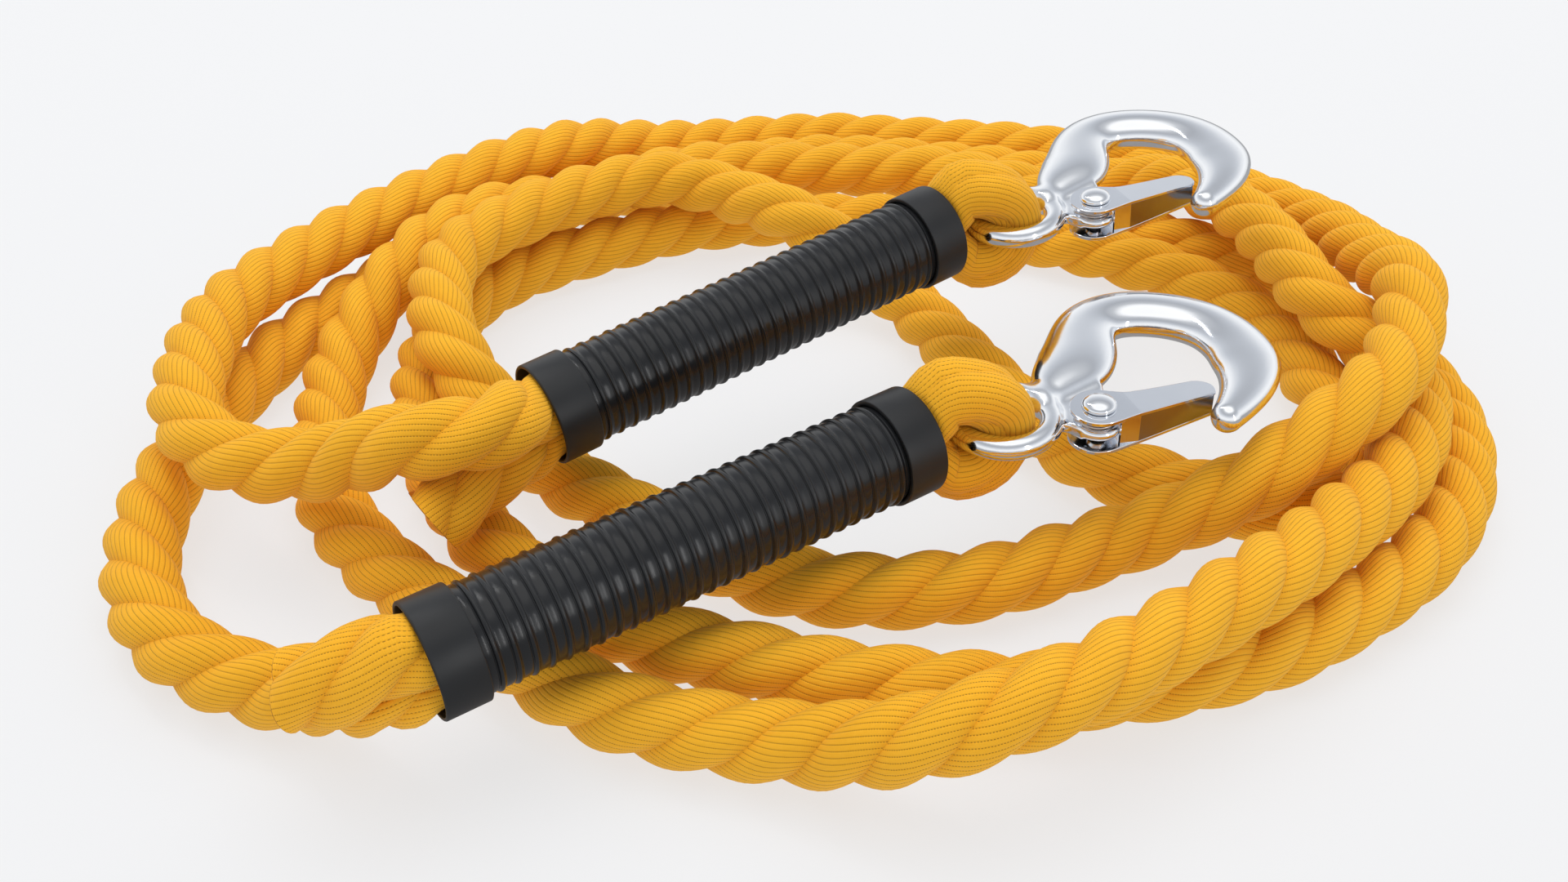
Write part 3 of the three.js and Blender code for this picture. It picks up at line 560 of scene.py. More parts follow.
# ---------------------------------------------------------------- materials
class Shader:
    """the nodes of a material or world, and the shader node (body) that they feed"""

    def __init__(self, owner, body="Principled BSDF"):
        owner.use_nodes = True
        self.owner = owner
        self.tree = owner.node_tree
        self.body = self.tree.nodes[body]

    def put(self, socket, value):
        if isinstance(value, bpy.types.NodeSocket):
            self.tree.links.new(value, socket)
        else:
            socket.default_value = (*value, 1) if isinstance(value, tuple) else value

    def feed(self, node, inputs):
        for key, value in inputs.items():
            self.put(node.inputs[key], value)

    def node(self, kind, inputs=None):
        node = self.tree.nodes.new("ShaderNode" + kind)
        self.feed(node, inputs or {})
        return node

    def math(self, operation, *values):
        node = self.node("Math", dict(enumerate(values)))
        node.operation = operation
        return node.outputs[0]

    def attribute(self, name):
        node = self.node("Attribute")
        node.attribute_name = name
        return node.outputs["Fac"]

    def coords(self, kind="Object"):
        return self.node("TexCoord").outputs[kind]

    def noise(self, coords, scale, detail):
        inputs = {"Scale": scale, "Detail": detail, "Roughness": 0.55, "Vector": coords}
        return self.node("TexNoise", inputs).outputs["Fac"]

    def mix(self, factor, a, b):
        node = self.node("Mix")
        node.data_type = "RGBA"
        self.put(node.inputs["Factor"], factor)
        for key, value in (("A", a), ("B", b)):
            self.put([s for s in node.inputs if s.name == key and s.type == "RGBA"][0], value)
        return [s for s in node.outputs if s.type == "RGBA"][0]

    def remap(self, value, source, target=(0.0, 1.0)):
        return self.node("MapRange", {
            "From Min": source[0], "From Max": source[1],
            "To Min": target[0], "To Max": target[1], "Value": value}).outputs[0]

    def bump(self, height, distance, strength):
        inputs = {"Strength": strength, "Distance": distance, "Height": height}
        self.put(self.body.inputs["Normal"], self.node("Bump", inputs).outputs[0])

    def by_ray(self, plain, glossy):
        """one value for reflections and another for all other rays"""
        is_glossy = self.node("LightPath").outputs["Is Glossy Ray"]
        return self.remap(is_glossy, source=(0, 1), target=(plain, glossy))


CLOUD_RANGE = (0.3, 0.7)   # the part of a soft noise that is used

YARN_DARK, YARN_LIGHT = (0.90, 0.44, 0.017), (0.97, 0.50, 0.024)
YARN_WEAVE, YARN_FUZZ = (0.78, 0.30, 0.012), (1.0, 0.56, 0.06)
# the seam colour is the yarn's own; the deep colour is painted shade for the crevices between the
# strands
YARN_SEAM, YARN_CREVICE_SHADE = (0.20, 0.085, 0.008), (0.62, 0.20, 0.006)
CUT_LIGHT, CUT_DARK = (0.90, 0.44, 0.04), (0.45, 0.16, 0.01)
STITCH_PITCH, STITCH_SKEW = 0.52, 2.4      # mm along the rope, radians from yarn to yarn
WEAVE_PITCH, WEAVE_SKEW = 0.50, 6 * math.pi


def rope_material():
    shader = Shader(bpy.data.materials.new("laid_rope_yarn"))
    yarn, along, crown = (shader.attribute(name) for name in ("yarn", "along", "crown"))
    coords = shader.coords()

    def wave(pitch, skew, joined="ADD"):
        run = shader.math("MULTIPLY", along, 2 * math.pi / pitch)
        return shader.math("SINE", shader.math(joined, run, shader.math("MULTIPLY", yarn, skew)))

    # ribs of yarn: 0 in the seam between two, 1 on top
    rib = shader.math("SINE", shader.math("MULTIPLY", yarn, math.pi))
    rib = shader.math("ABSOLUTE", rib)
    seam = shader.remap(rib, source=(0.08, 0.36), target=(1.0, 0.0))
    # stitches along the seams, and the weave on the ribs
    stitch = shader.remap(wave(STITCH_PITCH, STITCH_SKEW), source=(-0.6, 0.5), target=(0.12, 1.0))
    weave = shader.math("MULTIPLY", wave(WEAVE_PITCH, WEAVE_SKEW),
                        wave(WEAVE_PITCH, WEAVE_SKEW, joined="SUBTRACT"))
    dark = shader.math("MULTIPLY", seam, stitch)
    patch = shader.noise(coords, scale=26.0, detail=3.0)
    fuzz = shader.noise(coords, scale=900.0, detail=3.0)
    color = shader.mix(shader.remap(patch, source=CLOUD_RANGE), YARN_DARK, YARN_LIGHT)
    color = shader.mix(shader.remap(weave, source=(-1, 1), target=(0.0, 0.36)), color, YARN_WEAVE)
    fuzz_share = shader.remap(fuzz, source=(0.35, 0.75), target=(0.0, 0.14))
    color = shader.mix(fuzz_share, color, YARN_FUZZ)
    color = shader.mix(shader.math("MULTIPLY", dark, 0.86), color, YARN_SEAM)
    # painted shade: deep between the strands, in the crevices, the yarn is drawn a little darker
    crevice_shade = shader.remap(crown, source=(0.55, -0.35), target=(0.0, 0.30))
    color = shader.mix(crevice_shade, color, YARN_CREVICE_SHADE)
    # the cut face shows packed yarn ends
    cut = shader.remap(crown, source=(-1.6, -1.9))
    cell = shader.node("TexVoronoi", {"Scale": 900.0, "Vector": coords}).outputs["Distance"]
    cut_color = shader.mix(shader.remap(cell, source=(0.1, 0.7)), CUT_LIGHT, CUT_DARK)
    shader.feed(shader.body, {
        "Base Color": shader.mix(cut, color, cut_color),
        "Roughness": 0.82,
        "Specular IOR Level": 0.22,
        "Sheen Weight": 0.22,
        "Sheen Roughness": 0.45,
        "Sheen Tint": (1.0, 0.72, 0.28)})
    height = shader.remap(rib, source=(0.0, 0.7))
    height = shader.math("ADD", height, shader.math("MULTIPLY", weave, 0.14))
    height = shader.math("ADD", height, shader.math("MULTIPLY", fuzz, 0.4))
    shader.bump(height, distance=0.00014, strength=0.9)
    return shader.owner


def clouded_material(name, color, brighten, roughness, cloud, grain, bump, fixed):
    """soft clouds vary the color and roughness, and a fine grain the surface"""
    shader = Shader(bpy.data.materials.new(name))
    coords = shader.coords()
    clouds = shader.noise(coords, **cloud)
    grains = shader.noise(coords, **grain)
    light = tuple(min(1.0, channel * brighten) for channel in color)
    shader.feed(shader.body, {
        "Base Color": shader.mix(shader.remap(clouds, source=CLOUD_RANGE), color, light),
        "Roughness": shader.remap(clouds, source=CLOUD_RANGE, target=roughness),
        **fixed})
    shader.bump(grains, **bump)
    return shader.owner


def plastic_material(name, color, rough):
    return clouded_material(
        name, color, brighten=1.35, roughness=(rough - 0.02, rough + 0.04),
        cloud={"scale": 40.0, "detail": 3.0}, grain={"scale": 2600.0, "detail": 2.0},
        bump={"distance": 0.000008, "strength": 0.5}, fixed={"Specular IOR Level": 0.40})


def metal_material(name, color, rough):
    return clouded_material(
        name, color, brighten=1.05, roughness=(rough, rough + 0.06),
        cloud={"scale": 55.0, "detail": 3.0}, grain={"scale": 700.0, "detail": 3.0},
        bump={"distance": 0.000004, "strength": 0.35}, fixed={"Metallic": 1.0})


ROPE = rope_material()
SLEEVE = plastic_material("ribbed_sleeve_plastic", color=(0.010, 0.0105, 0.0115), rough=0.21)
COLLAR = plastic_material("collar_plastic", color=(0.011, 0.0115, 0.0125), rough=0.40)
CHROME = metal_material("polished_chrome", color=(0.86, 0.875, 0.90), rough=0.10)
SHEET = metal_material("chromed_sheet", color=(0.78, 0.80, 0.84), rough=0.09)
# a darker copy of the chromed sheet: painted shade for the web, which sits recessed between the
# latch's plates
WEB_SHADE_SHEET = metal_material("chromed_sheet_web", color=(0.36, 0.37, 0.40), rough=0.16)
BAND = metal_material("pressed_aluminium", color=(0.42, 0.43, 0.45), rough=0.32)
SPRING = metal_material("spring_wire", color=(0.55, 0.56, 0.58), rough=0.22)


def build_rope_end(name, start, stop, **cut):
    piece = rope_piece(name + "_rope_end", start, stop, ENDS[name], **cut)
    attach(piece, name + "_end")
    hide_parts(name + "_rope_tail", name + "_rope_bight", name + "_rope_standing_leg")


def build_rope_bend(name, middle):
    """the rope piece about an end's lift joint, between the coil and that end, fitted to the end"""
    piece = rope_piece(name + "_rope_bend", middle - HALF_BEND, middle + HALF_BEND, ENDS[name])
    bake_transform(piece)


def build_coil():
    first, last = REAR_LIFT + HALF_BEND, FRONT_LIFT - HALF_BEND
    for i in range(COIL_PIECES):
        start = first + (last - first) * i / COIL_PIECES
        stop = first + (last - first) * (i + 1) / COIL_PIECES
        piece = rope_piece(f"coil_rope_{i + 1}", start, stop)
        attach(piece, "coil")
        if i == 0:
            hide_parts("rope_coil")


build_rope_end("rear", 0, REAR_LIFT - HALF_BEND, cut_start=True)
build_rope_bend("rear", REAR_LIFT)
build_coil()
build_rope_bend("front", FRONT_LIFT)
build_rope_end("front", FRONT_LIFT + HALF_BEND, LENGTHS[-1], cut_stop=True)

# ---------------------------------------------------------------- sleeves
# one pitch, a flat valley then a rounded rib: place along the pitch, height between valley and crest
RIB_PROFILE = [
    (0.04, 0.10), (0.18, 0.14), (0.32, 0.09), (0.375, 0.02), (0.395, -0.12), (0.415, -0.13),
    (0.435, 0.05), (0.455, 0.36), (0.485, 0.68), (0.53, 0.91), (0.58, 1.0), (0.63, 0.98),
    (0.68, 0.82), (0.72, 0.55), (0.755, 0.26), (0.80, 0.05), (0.86, 0.0), (0.94, 0.04)]
TUBE_END_R = VALLEY_R - 0.1
TUBE_BORE_R = BORE_R + 0.05
COLLAR_ROUND = 0.55        # rounding of a collar's outer rim at its open face
COLLAR_SMALL_ROUND = 0.35  # and of its other edges


def arc_points(x, radius, size, start, stop, count):
    return [(x + size * math.cos(math.radians(a)), radius + size * math.sin(math.radians(a)))
            for a in np.linspace(start, stop, count)]


def tube_profile():
    ribs_start, ribs_stop = -SLEEVE_L + COLLAR_L, -COLLAR_L
    start, stop = -SLEEVE_L + TUBE_INSET, -TUBE_INSET
    profile = [(start, TUBE_BORE_R), (start, TUBE_END_R), (ribs_start - 0.4, TUBE_END_R)]
    for i in range(int(round((ribs_stop - ribs_start) / RIB_PITCH))):
        x = ribs_start + i * RIB_PITCH
        profile += [(x + place * RIB_PITCH, VALLEY_R + height * (CREST_R - VALLEY_R))
                    for place, height in RIB_PROFILE]
    return profile + [(ribs_stop + 0.4, TUBE_END_R), (stop, TUBE_END_R), (stop, TUBE_BORE_R),
                      (start, TUBE_BORE_R)]


def collar_profile():
    """x from the collar's open face inwards"""
    small = COLLAR_SMALL_ROUND
    inner_x = COLLAR_L - COLLAR_GAP
    return np.array(
        [(7.0, BORE_R), (4.0, BORE_R + 0.35), (1.6, BORE_R + 0.85)]
        + arc_points(small, BORE_R + 1.32, small, 270, 180, 5)
        + arc_points(COLLAR_ROUND, COLLAR_R - COLLAR_ROUND, COLLAR_ROUND, 180, 90, 7)
        + [(COLLAR_L * 0.5, COLLAR_R)]
        + arc_points(inner_x - small, COLLAR_R - small, small, 90, 0, 5)
        + [(inner_x, VALLEY_R + 0.25), (COLLAR_L - 1.2, VALLEY_R + 0.22), (7.4, VALLEY_R + 0.22),
           (7.0, BORE_R)])


def build_sleeve(end):
    carrier = end.name + "_end"
    verts, faces = lathe(tube_profile(), 112)
    tube = mesh_object(end.name + "_ribbed_tube", end.world(verts), faces)
    fit_out(tube, [SLEEVE], carrier, end.name + "_sleeve_tube")
    for label, shift, sign in (("rope_side", -SLEEVE_L, 1), ("hook_side", 0.0, -1)):
        profile = collar_profile()
        profile[:, 0] = shift + sign * profile[:, 0]
        verts, faces = lathe(profile, 128)
        node = f"{end.name}_collar_{label}"
        collar = mesh_object(node + "_moulded", end.world(verts), faces[:, ::sign])
        fit_out(collar, [COLLAR], carrier, node)
    for i in (1, 2):
        band = NODES[f"{end.name}_crimp_band_{i}"]
        band.data.materials.clear()
        band.data.materials.append(BAND)


# ---------------------------------------------------------------- latch
# the latch's arm seen along Z, x and y from the pivot: out along the -Y edge, round the tip, back
LATCH_ARM = [
    (2.6, -7.05), (5.2, -6.8), (8, -6.6), (14, -6.3), (22, -5.85), (29.2, -5.45), (30.1, -5.15),
    (30.6, -4.5), (30.95, -3.0), (30.9, -1.9), (30.4, -0.9), (29.4, 0.1), (28.2, 0.8), (27, 1.15),
    (20, 1.6), (14, 2.05), (10, 2.55), (8.4, 3.0), (7.0, 3.8), (5.6, 4.75)]
# outer edges of the web that joins the two plates, and of its root near the pivot: x, y
WEB_LINE = [(8.0, -6.55), (14, -6.25), (22, -5.8), (29.6, -5.35)]
WEB_ROOT_LINE = [(2.9, -6.12), (4.4, -6.2), (6.2, -6.34), (8.15, -6.52)]
WEB_SHEET, WEB_ROOT_SHEET = 1.0, 0.8
WEB_HALF_Z = LATCH_HALF_Z - 0.12
TAPER_START_X, TAPER_STOP_X = 8, 31


def edge_directions(steps):
    steps /= np.linalg.norm(steps, axis=1, keepdims=True)
    return np.stack([-steps[:, 1], steps[:, 0]], -1)


def prism(outline, z0, z1, edge=0.16):
    """a flat plate with softened edges, from an anticlockwise outline"""
    count = len(outline)
    inward = edge_directions(np.roll(outline, -1, 0) - np.roll(outline, 1, 0))
    rows = [(edge, z0), (edge * 0.3, z0 + edge * 0.3), (0, z0 + edge),
            (0, z1 - edge), (edge * 0.3, z1 - edge * 0.3), (edge, z1)]
    verts = np.vstack([np.c_[outline + inward * inset, np.full(count, z)] for inset, z in rows])
    faces = grid_faces(len(rows), count, closed=True).tolist()
    faces.append(list(range(count))[::-1])
    faces.append(list(range((len(rows) - 1) * count, len(rows) * count)))
    return verts, faces


def strip(line, thick):
    """a bent strip of sheet across the latch: line is its outer edge, thick goes inwards"""
    line = np.asarray(line, float)
    inner = line + edge_directions(np.gradient(line, axis=0)) * thick
    return prism(np.vstack([line, inner[::-1]]), -WEB_HALF_Z, WEB_HALF_Z, edge=0.14)


def taper(verts):
    """brings the plates together towards the tip"""
    share = np.clip((verts[:, 0] - TAPER_START_X) / (TAPER_STOP_X - TAPER_START_X), 0, 1)
    shift = (LATCH_HALF_Z - LATCH_TIP_HALF_Z) * share
    z = verts[:, 2]
    verts[:, 2] = z - np.sign(z) * np.minimum(shift, np.abs(z))


def build_latch(end):
    round_end = [(LATCH_END_R * math.cos(a), LATCH_END_R * math.sin(a))
                 for a in np.radians(np.linspace(52, 272, 44))]
    outline = np.array(round_end + LATCH_ARM)
    inner_z = LATCH_HALF_Z - LATCH_SHEET
    parts = [prism(outline, inner_z, LATCH_HALF_Z), prism(outline, -LATCH_HALF_Z, -inner_z),
             strip(WEB_LINE, WEB_SHEET), strip(WEB_ROOT_LINE, WEB_ROOT_SHEET)]
    verts, faces = join(parts)
    taper(verts)
    latch = mesh_object(end.name + "_latch_sheet", end.hook_world(verts + LATCH_PIVOT), faces,
                        shade=False)
    fit_out(latch, [SHEET, WEB_SHADE_SHEET], end.name + "_latch_body", end.name + "_latch")
    # the web strip takes the darker sheet, painted shade between the plates
    web_start = len(parts[0][1]) + len(parts[1][1])
    for i in range(web_start, web_start + len(parts[2][1])):
        latch.data.polygons[i].material_index = 1


# ---------------------------------------------------------------- rivet
RIVET_R = 4.3
RIVET_DOME = 1.9           # height of the domed head
RIVET_SHANK_R = 2.3
RIVET_SEGMENTS = 56


def build_rivet(end):
    head_z = LATCH_HALF_Z + 0.12
    half = [(head_z, RIVET_SHANK_R), (head_z, 4.0), (head_z + 0.12, 4.22),
            (head_z + 0.42, RIVET_R)]
    for a in np.radians(np.linspace(8, 90, 11)):
        half.append((head_z + 0.45 + RIVET_DOME * math.sin(a), RIVET_R * math.cos(a) + 0.0005))
    profile = [(-z, radius) for z, radius in half[::-1]] + half
    turned, faces = lathe(profile, RIVET_SEGMENTS)
    # the profile's axis becomes Z
    verts = turned[:, [1, 2, 0]] + LATCH_PIVOT
    # each pole is one vertex
    seg = RIVET_SEGMENTS
    faces = faces[:, ::-1]
    last = (len(profile) - 1) * seg
    faces = np.where(faces < seg, 0, np.where(faces >= last, 1, faces - seg + 2))
    verts = np.vstack([verts[:seg].mean(0), verts[-seg:].mean(0), verts[seg:-seg]])
    rivet = mesh_object(end.name + "_domed_rivet", end.hook_world(verts),
                        [list(dict.fromkeys(face.tolist())) for face in faces])
    fit_out(rivet, [CHROME], end.name + "_hook_body", end.name + "_latch_rivet")


# ---------------------------------------------------------------- spring
SPRING_R, SPRING_WIRE_R = 4.3, 0.32
SPRING_Z = 1.2             # height of its first leg
SPRING_RISE = 0.72         # per turn
SPRING_START, SPRING_STOP = math.radians(200), math.radians(993)
SPRING_SIDES = 10


def build_spring(end):
    def place(angle, off=0.0):
        """on the coil at an angle, or off it along the tangent there"""
        z = SPRING_Z + SPRING_RISE / (2 * math.pi) * (angle - SPRING_START)
        return (SPRING_R * math.cos(angle) - off * math.sin(angle),
                SPRING_R * math.sin(angle) + off * math.cos(angle), z)

    points = [place(SPRING_START, off) for off in (-4, -2)]
    points += [place(angle) for angle in np.linspace(SPRING_START, SPRING_STOP, 90)]
    points += [place(SPRING_STOP, off) for off in (2.5, 5, 7.5, 9.0)]
    line, _ = resample(points, 0.55)
    _, normals, binormals = path_frames(line)
    a = np.linspace(0, 2 * math.pi, SPRING_SIDES, endpoint=False)[None, :, None]
    around = np.cos(a) * normals[:, None] + np.sin(a) * binormals[:, None]
    verts = (line[:, None] + SPRING_WIRE_R * around).reshape(-1, 3)
    faces = grid_faces(len(line), SPRING_SIDES, closed=True).tolist()
    faces.append(list(range(SPRING_SIDES))[::-1])
    faces.append(list(range(len(verts) - SPRING_SIDES, len(verts))))
    spring = mesh_object(end.name + "_torsion_spring", end.hook_world(verts + LATCH_PIVOT), faces)
    fit_out(spring, [SPRING], end.name + "_hook_body", end.name + "_latch_spring")


# ---------------------------------------------------------------- forged hook
# stations along the bar's middle, from the eye round the bow to the point: x, y, width, thickness
HOOK_BAR = np.array([
    [12.6, 3.0, 6.4, 6.0], [16.6, 5.6, 11.6, 7.6], [21.2, 9.0, 16.6, 9.0], [26.8, 12.5, 20.4, 9.6],
    [32.0, 18.0, 19.8, 9.6], [36.6, 24.6, 17.4, 9.6], [42.0, 29.0, 16.2, 9.6], [50.0, 29.8, 16, 9.6],
    [57.4, 27.0, 16.0, 9.6], [63.8, 22.0, 16.0, 9.6], [68.6, 15.0, 16.4, 9.6], [70.2, 6.0, 17.4, 9.6],
    [68.2, -4.0, 18.2, 9.4], [63.0, -12.2, 14.4, 8.6], [56.6, -17.9, 10.8, 7.8],
    [50.2, -22.0, 8.0, 7.2]], float)
THICKEN = 1.1              # on the table's thickness
# the lug that holds the latch: a round boss at the pivot and a neck to the bar
LUG_MID_Z, LUG_HALF_Z = -0.75, 1.55
BOSS_R = 5.95
LATCH_CLEARANCE = 0.55     # round the latch's end, where the bar is cut back
# the neck's outline, anticlockwise: x, y from the pivot
NECK = LATCH_PIVOT[:2] + np.array([(-5.4, -1.6), (5.4, 1.6), (8.6, 12.6), (3.5, 18.4), (-8.4, 12.6),
                                   (-9.6, 4.6)], float)
HOOK_LOW, HOOK_HIGH = (-16.2, -30.0, -6.2), (80.0, 40.0, 6.2)
HOOK_CELL = 0.62


def bar_samples():
    """the bar's middle line, and its half width and half thickness there, smoothed"""
    curve, _ = resample(np.c_[HOOK_BAR[:, :2], np.zeros(len(HOOK_BAR))], 1.0)
    line = interp_columns(np.linspace(0, len(curve) - 1, 420), np.arange(len(curve)), curve)
    known = arc_lengths(HOOK_BAR[:, :2])
    run = arc_lengths(line)
    run = run / run[-1] * known[-1]
    width = np.interp(run, known, HOOK_BAR[:, 2])
    thickness = np.interp(run, known, HOOK_BAR[:, 3]) * THICKEN
    for values in (line, width, thickness):
        for _ in range(160):
            values[1:-1] = (values[:-2] + values[1:-1] * 2 + values[2:]) / 4
    return line[:, :2], width / 2, thickness / 2


BAR, BAR_HALF_WIDTH, BAR_HALF_THICKNESS = bar_samples()


def smooth_min(a, b, blend):
    h = np.maximum(blend - np.abs(a - b), 0) / blend
    return np.minimum(a, b) - h * h * blend / 4


def smooth_max(a, b, blend):
    return -smooth_min(-a, -b, blend)


def bar_distance(x, y, z):
    nearest = np.empty(len(x), int)
    for i in range(0, len(x), 20000):
        part = slice(i, i + 20000)
        squared = (x[part, None] - BAR[None, :, 0]) ** 2 + (y[part, None] - BAR[None, :, 1]) ** 2
        nearest[part] = np.argmin(squared, 1)
    # distance from the line itself, refined within the neighbouring spans
    distance = np.full(len(x), 1e9)
    place = nearest.astype(float)
    for shift in (-1, 0):
        start = np.clip(nearest + shift, 0, len(BAR) - 2)
        edge = BAR[start + 1] - BAR[start]
        offset = np.c_[x, y] - BAR[start]
        t = np.clip((offset * edge).sum(1) / (edge ** 2).sum(1), 0, 1)
        found = np.linalg.norm(offset - edge * t[:, None], axis=1)
        better = found < distance
        distance = np.where(better, found, distance)
        place = np.where(better, start + t, place)
    stations = np.arange(len(BAR))
    half_width = np.interp(place, stations, BAR_HALF_WIDTH)
    half_thickness = np.interp(place, stations, BAR_HALF_THICKNESS)
    ratio = np.sqrt((distance / half_width) ** 2 + (np.abs(z) / half_thickness) ** 2)
    return (ratio - 1) * np.minimum(half_width, half_thickness)


def lug_distance(x, y, z, from_pivot):
    slab = np.abs(z - LUG_MID_Z) - LUG_HALF_Z
    boss = smooth_max(from_pivot - BOSS_R, slab, 1.9)
    neck = np.full(len(x), -1e9)
    for start, stop in zip(NECK, np.roll(NECK, -1, 0)):
        side = unit(stop - start)
        neck = np.maximum(neck, (x - start[0]) * side[1] - (y - start[1]) * side[0])
    return smooth_min(boss, smooth_max(neck, slab, 0.9), 1.6)


def hook_distance(points):
    """about the distance from the hook's surface, negative inside"""
    x, y, z = points.T
    from_pivot = np.hypot(x - LATCH_PIVOT[0], y - LATCH_PIVOT[1])
    ring = np.hypot(np.hypot(x, y) - EYE_RING_R, z) - EYE_WIRE_R
    body = smooth_min(bar_distance(x, y, z), ring, 3.4)
    body = smooth_max(body, LATCH_END_R + LATCH_CLEARANCE - from_pivot, 1.4)
    return smooth_min(body, lug_distance(x, y, z, from_pivot), 1.6)


def surface(field, low, high, cell):
    """one closed smooth surface where field is 0: a vertex in each grid cell the surface crosses
    and a quad across each grid edge it crosses"""
    ticks = [np.arange(low[i], high[i] + cell, cell) for i in range(3)]
    shape = tuple(len(tick) for tick in ticks)
    grid = np.stack(np.meshgrid(*ticks, indexing="ij"), -1).reshape(-1, 3)
    values = field(grid).reshape(shape)
    inside = values < 0
    cells = tuple(n - 1 for n in shape)
    total = np.zeros(cells + (3,))
    crossings = np.zeros(cells)

    def at_corner(corner):
        return values[tuple(slice(d, n + d) for d, n in zip(corner, cells))]

    for axis in range(3):
        others = [i for i in range(3) if i != axis]
        for a, b in ((0, 0), (0, 1), (1, 0), (1, 1)):
            start = [0, 0, 0]
            start[others[0]], start[others[1]] = a, b
            stop = list(start)
            stop[axis] = 1
            f0, f1 = at_corner(start), at_corner(stop)
            cross = (f0 < 0) != (f1 < 0)
            offset = np.zeros(cells + (3,)) + start
            offset[..., axis] = np.where(cross, f0 / np.where(cross, f0 - f1, 1), 0)
            total += np.where(cross[..., None], offset, 0)
            crossings += cross
    used = crossings > 0
    index = -np.ones(cells, int)
    index[used] = np.arange(used.sum())
    places = np.stack(np.nonzero(used), -1) + total[used] / crossings[used][:, None]
    verts = places * cell + np.array([tick[0] for tick in ticks])
    quads = []
    for axis in range(3):
        u, w = (axis + 1) % 3, (axis + 2) % 3
        before = np.take(inside, np.arange(shape[axis] - 1), axis)
        after = np.take(inside, np.arange(1, shape[axis]), axis)
        cross = np.argwhere(before != after)
        cross = cross[(cross[:, u] > 0) & (cross[:, w] > 0)
                      & (cross[:, u] < shape[u] - 1) & (cross[:, w] < shape[w] - 1)]
        quad = []
        for du, dw in ((-1, -1), (0, -1), (0, 0), (-1, 0)):
            corner = cross.copy()
            corner[:, u] += du
            corner[:, w] += dw
            quad.append(index[tuple(corner.T)])
        quad = np.stack(quad, 1)
        turned = ~before[tuple(cross.T)]
        quad[turned] = quad[turned][:, ::-1]
        quads.append(quad)
    # three steps down the field's slope bring the vertices onto the surface
    probe = 0.02
    for _ in range(3):
        value = field(verts)
        slope = np.stack([(field(verts + d) - field(verts - d)) / (2 * probe)
                          for d in np.eye(3) * probe], -1)
        squared = (slope ** 2).sum(1)
        step = np.clip(value / np.maximum(squared, 0.05), -0.5 * cell, 0.5 * cell)
        verts = verts - slope * step[:, None]
    return verts, np.vstack(quads)


def build_hooks():
    verts, quads = surface(hook_distance, HOOK_LOW, HOOK_HIGH, HOOK_CELL)
    for end in ENDS.values():
        hook = mesh_object(end.name + "_forged_hook", end.hook_world(verts), quads)
        fit_out(hook, [CHROME], end.name + "_hook_body", end.name + "_hook")


for each_end in ENDS.values():
    build_sleeve(each_end)
    build_latch(each_end)
    build_rivet(each_end)
    build_spring(each_end)
build_hooks()

# ---------------------------------------------------------------- floor, light and camera
FLOOR_HALF = 6000
FLOOR_GLOW = 0.68
# sky color by the upward part of the direction, 0 to 1: position, color
SKY_BOTTOM = (0.0, (0.50, 0.51, 0.53))
SKY_TOP = (1.0, (1.2, 1.2, 1.2))
SKY_BANDS = [
    (0.08, (0.90, 0.91, 0.92)), (0.28, (1.12, 1.13, 1.14)), (0.45, (0.92, 0.94, 0.97)),
    (0.58, (0.66, 0.69, 0.74)), (0.74, (0.48, 0.50, 0.54)), (0.86, (0.66, 0.68, 0.71)),
    (0.93, (1.25, 1.25, 1.25))]


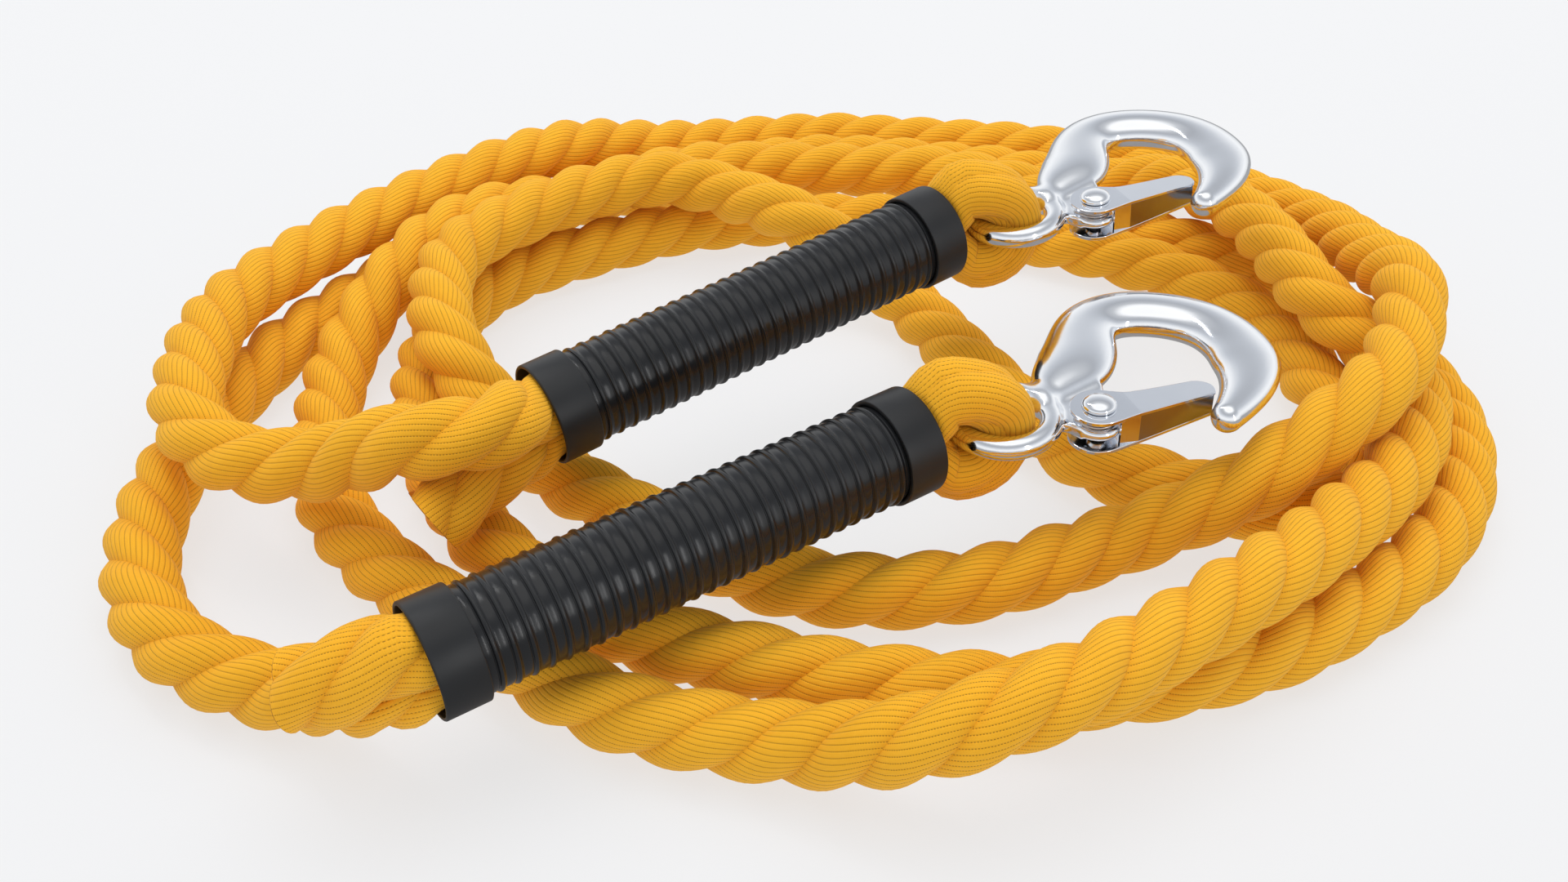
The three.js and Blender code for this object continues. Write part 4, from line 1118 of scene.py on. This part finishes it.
def build_floor():
    corners = [(-1, -1, 0), (1, -1, 0), (1, 1, 0), (-1, 1, 0)]
    floor = mesh_object("floor", np.array(corners) * FLOOR_HALF, [(0, 1, 2, 3)], shade=False)
    shader = Shader(bpy.data.materials.new("pale_floor"))
    shader.feed(shader.body, {
        "Base Color": (0.185, 0.19, 0.20),
        "Roughness": 0.9,
        "Specular IOR Level": 0.1,
        "Emission Color": (1, 1, 1),
        "Emission Strength": FLOOR_GLOW})
    # the floor glows less in reflections
    glow = shader.by_ray(plain=FLOOR_GLOW, glossy=0.16)
    shader.feed(shader.body, {"Emission Strength": glow})
    floor.data.materials.append(shader.owner)
    floor.location.z = -0.0004


def build_world():
    world = bpy.data.worlds.new("studio")
    bpy.context.scene.world = world
    shader = Shader(world, body="Background")
    direction = shader.node("SeparateXYZ", {0: shader.coords("Generated")})
    ramp = shader.node("ValToRGB", {0: direction.outputs["Z"]})
    elements = ramp.color_ramp.elements
    for element, (position, color) in zip(elements, (SKY_BOTTOM, SKY_TOP)):
        element.position = position
        element.color = (*color, 1)
    for position, color in SKY_BANDS:
        elements.new(position).color = (*color, 1)
    shader.feed(shader.body, {"Color": ramp.outputs[0]})
    shader.feed(shader.body, {"Strength": shader.by_ray(plain=0.80, glossy=0.92)})


def area_light(name, place, target, size, power, glossy=False):
    light = bpy.data.lights.new(name, "AREA")
    light.shape = "RECTANGLE"
    light.size, light.size_y = size
    light.energy = power
    lamp = bpy.data.objects.new(name, light)
    bpy.context.scene.collection.objects.link(lamp)
    lamp.location = place
    aim = Vector(target) - Vector(place)
    lamp.rotation_euler = aim.to_track_quat("-Z", "Y").to_euler()
    lamp.visible_glossy = glossy


def build_camera():
    lens = bpy.data.cameras.new("camera")
    lens.lens = 33.75
    lens.sensor_width = 36
    lens.clip_start = 0.01
    camera = bpy.data.objects.new("camera", lens)
    bpy.context.scene.collection.objects.link(camera)
    camera.location = (-0.01203, -0.38205, 0.2506)
    camera.rotation_euler = (math.radians(54.7), 0, 0)
    bpy.context.scene.camera = camera


build_floor()
build_world()
area_light("key", place=(-0.5, 0.1, 1.6), target=(0, 0, 0), size=(1.6, 1.6), power=7.5)
area_light("top", place=(0.5, 0.75, 1.6), target=(0, 0.05, 0), size=(1.8, 1.8), power=12.5)
# narrow lights that also show in the chrome
area_light("glint_over", place=(-0.5, 0.52, 1.3), target=(0, 0, 0.02), size=(0.06, 0.8),
           power=1.4, glossy=True)
area_light("glint_front", place=(0.95, -1.2, 0.62), target=(0, 0, 0.02), size=(0.07, 0.9),
           power=1.8, glossy=True)
bpy.context.scene.view_settings.view_transform = "Standard"
build_camera()

bpy.context.view_layer.update()
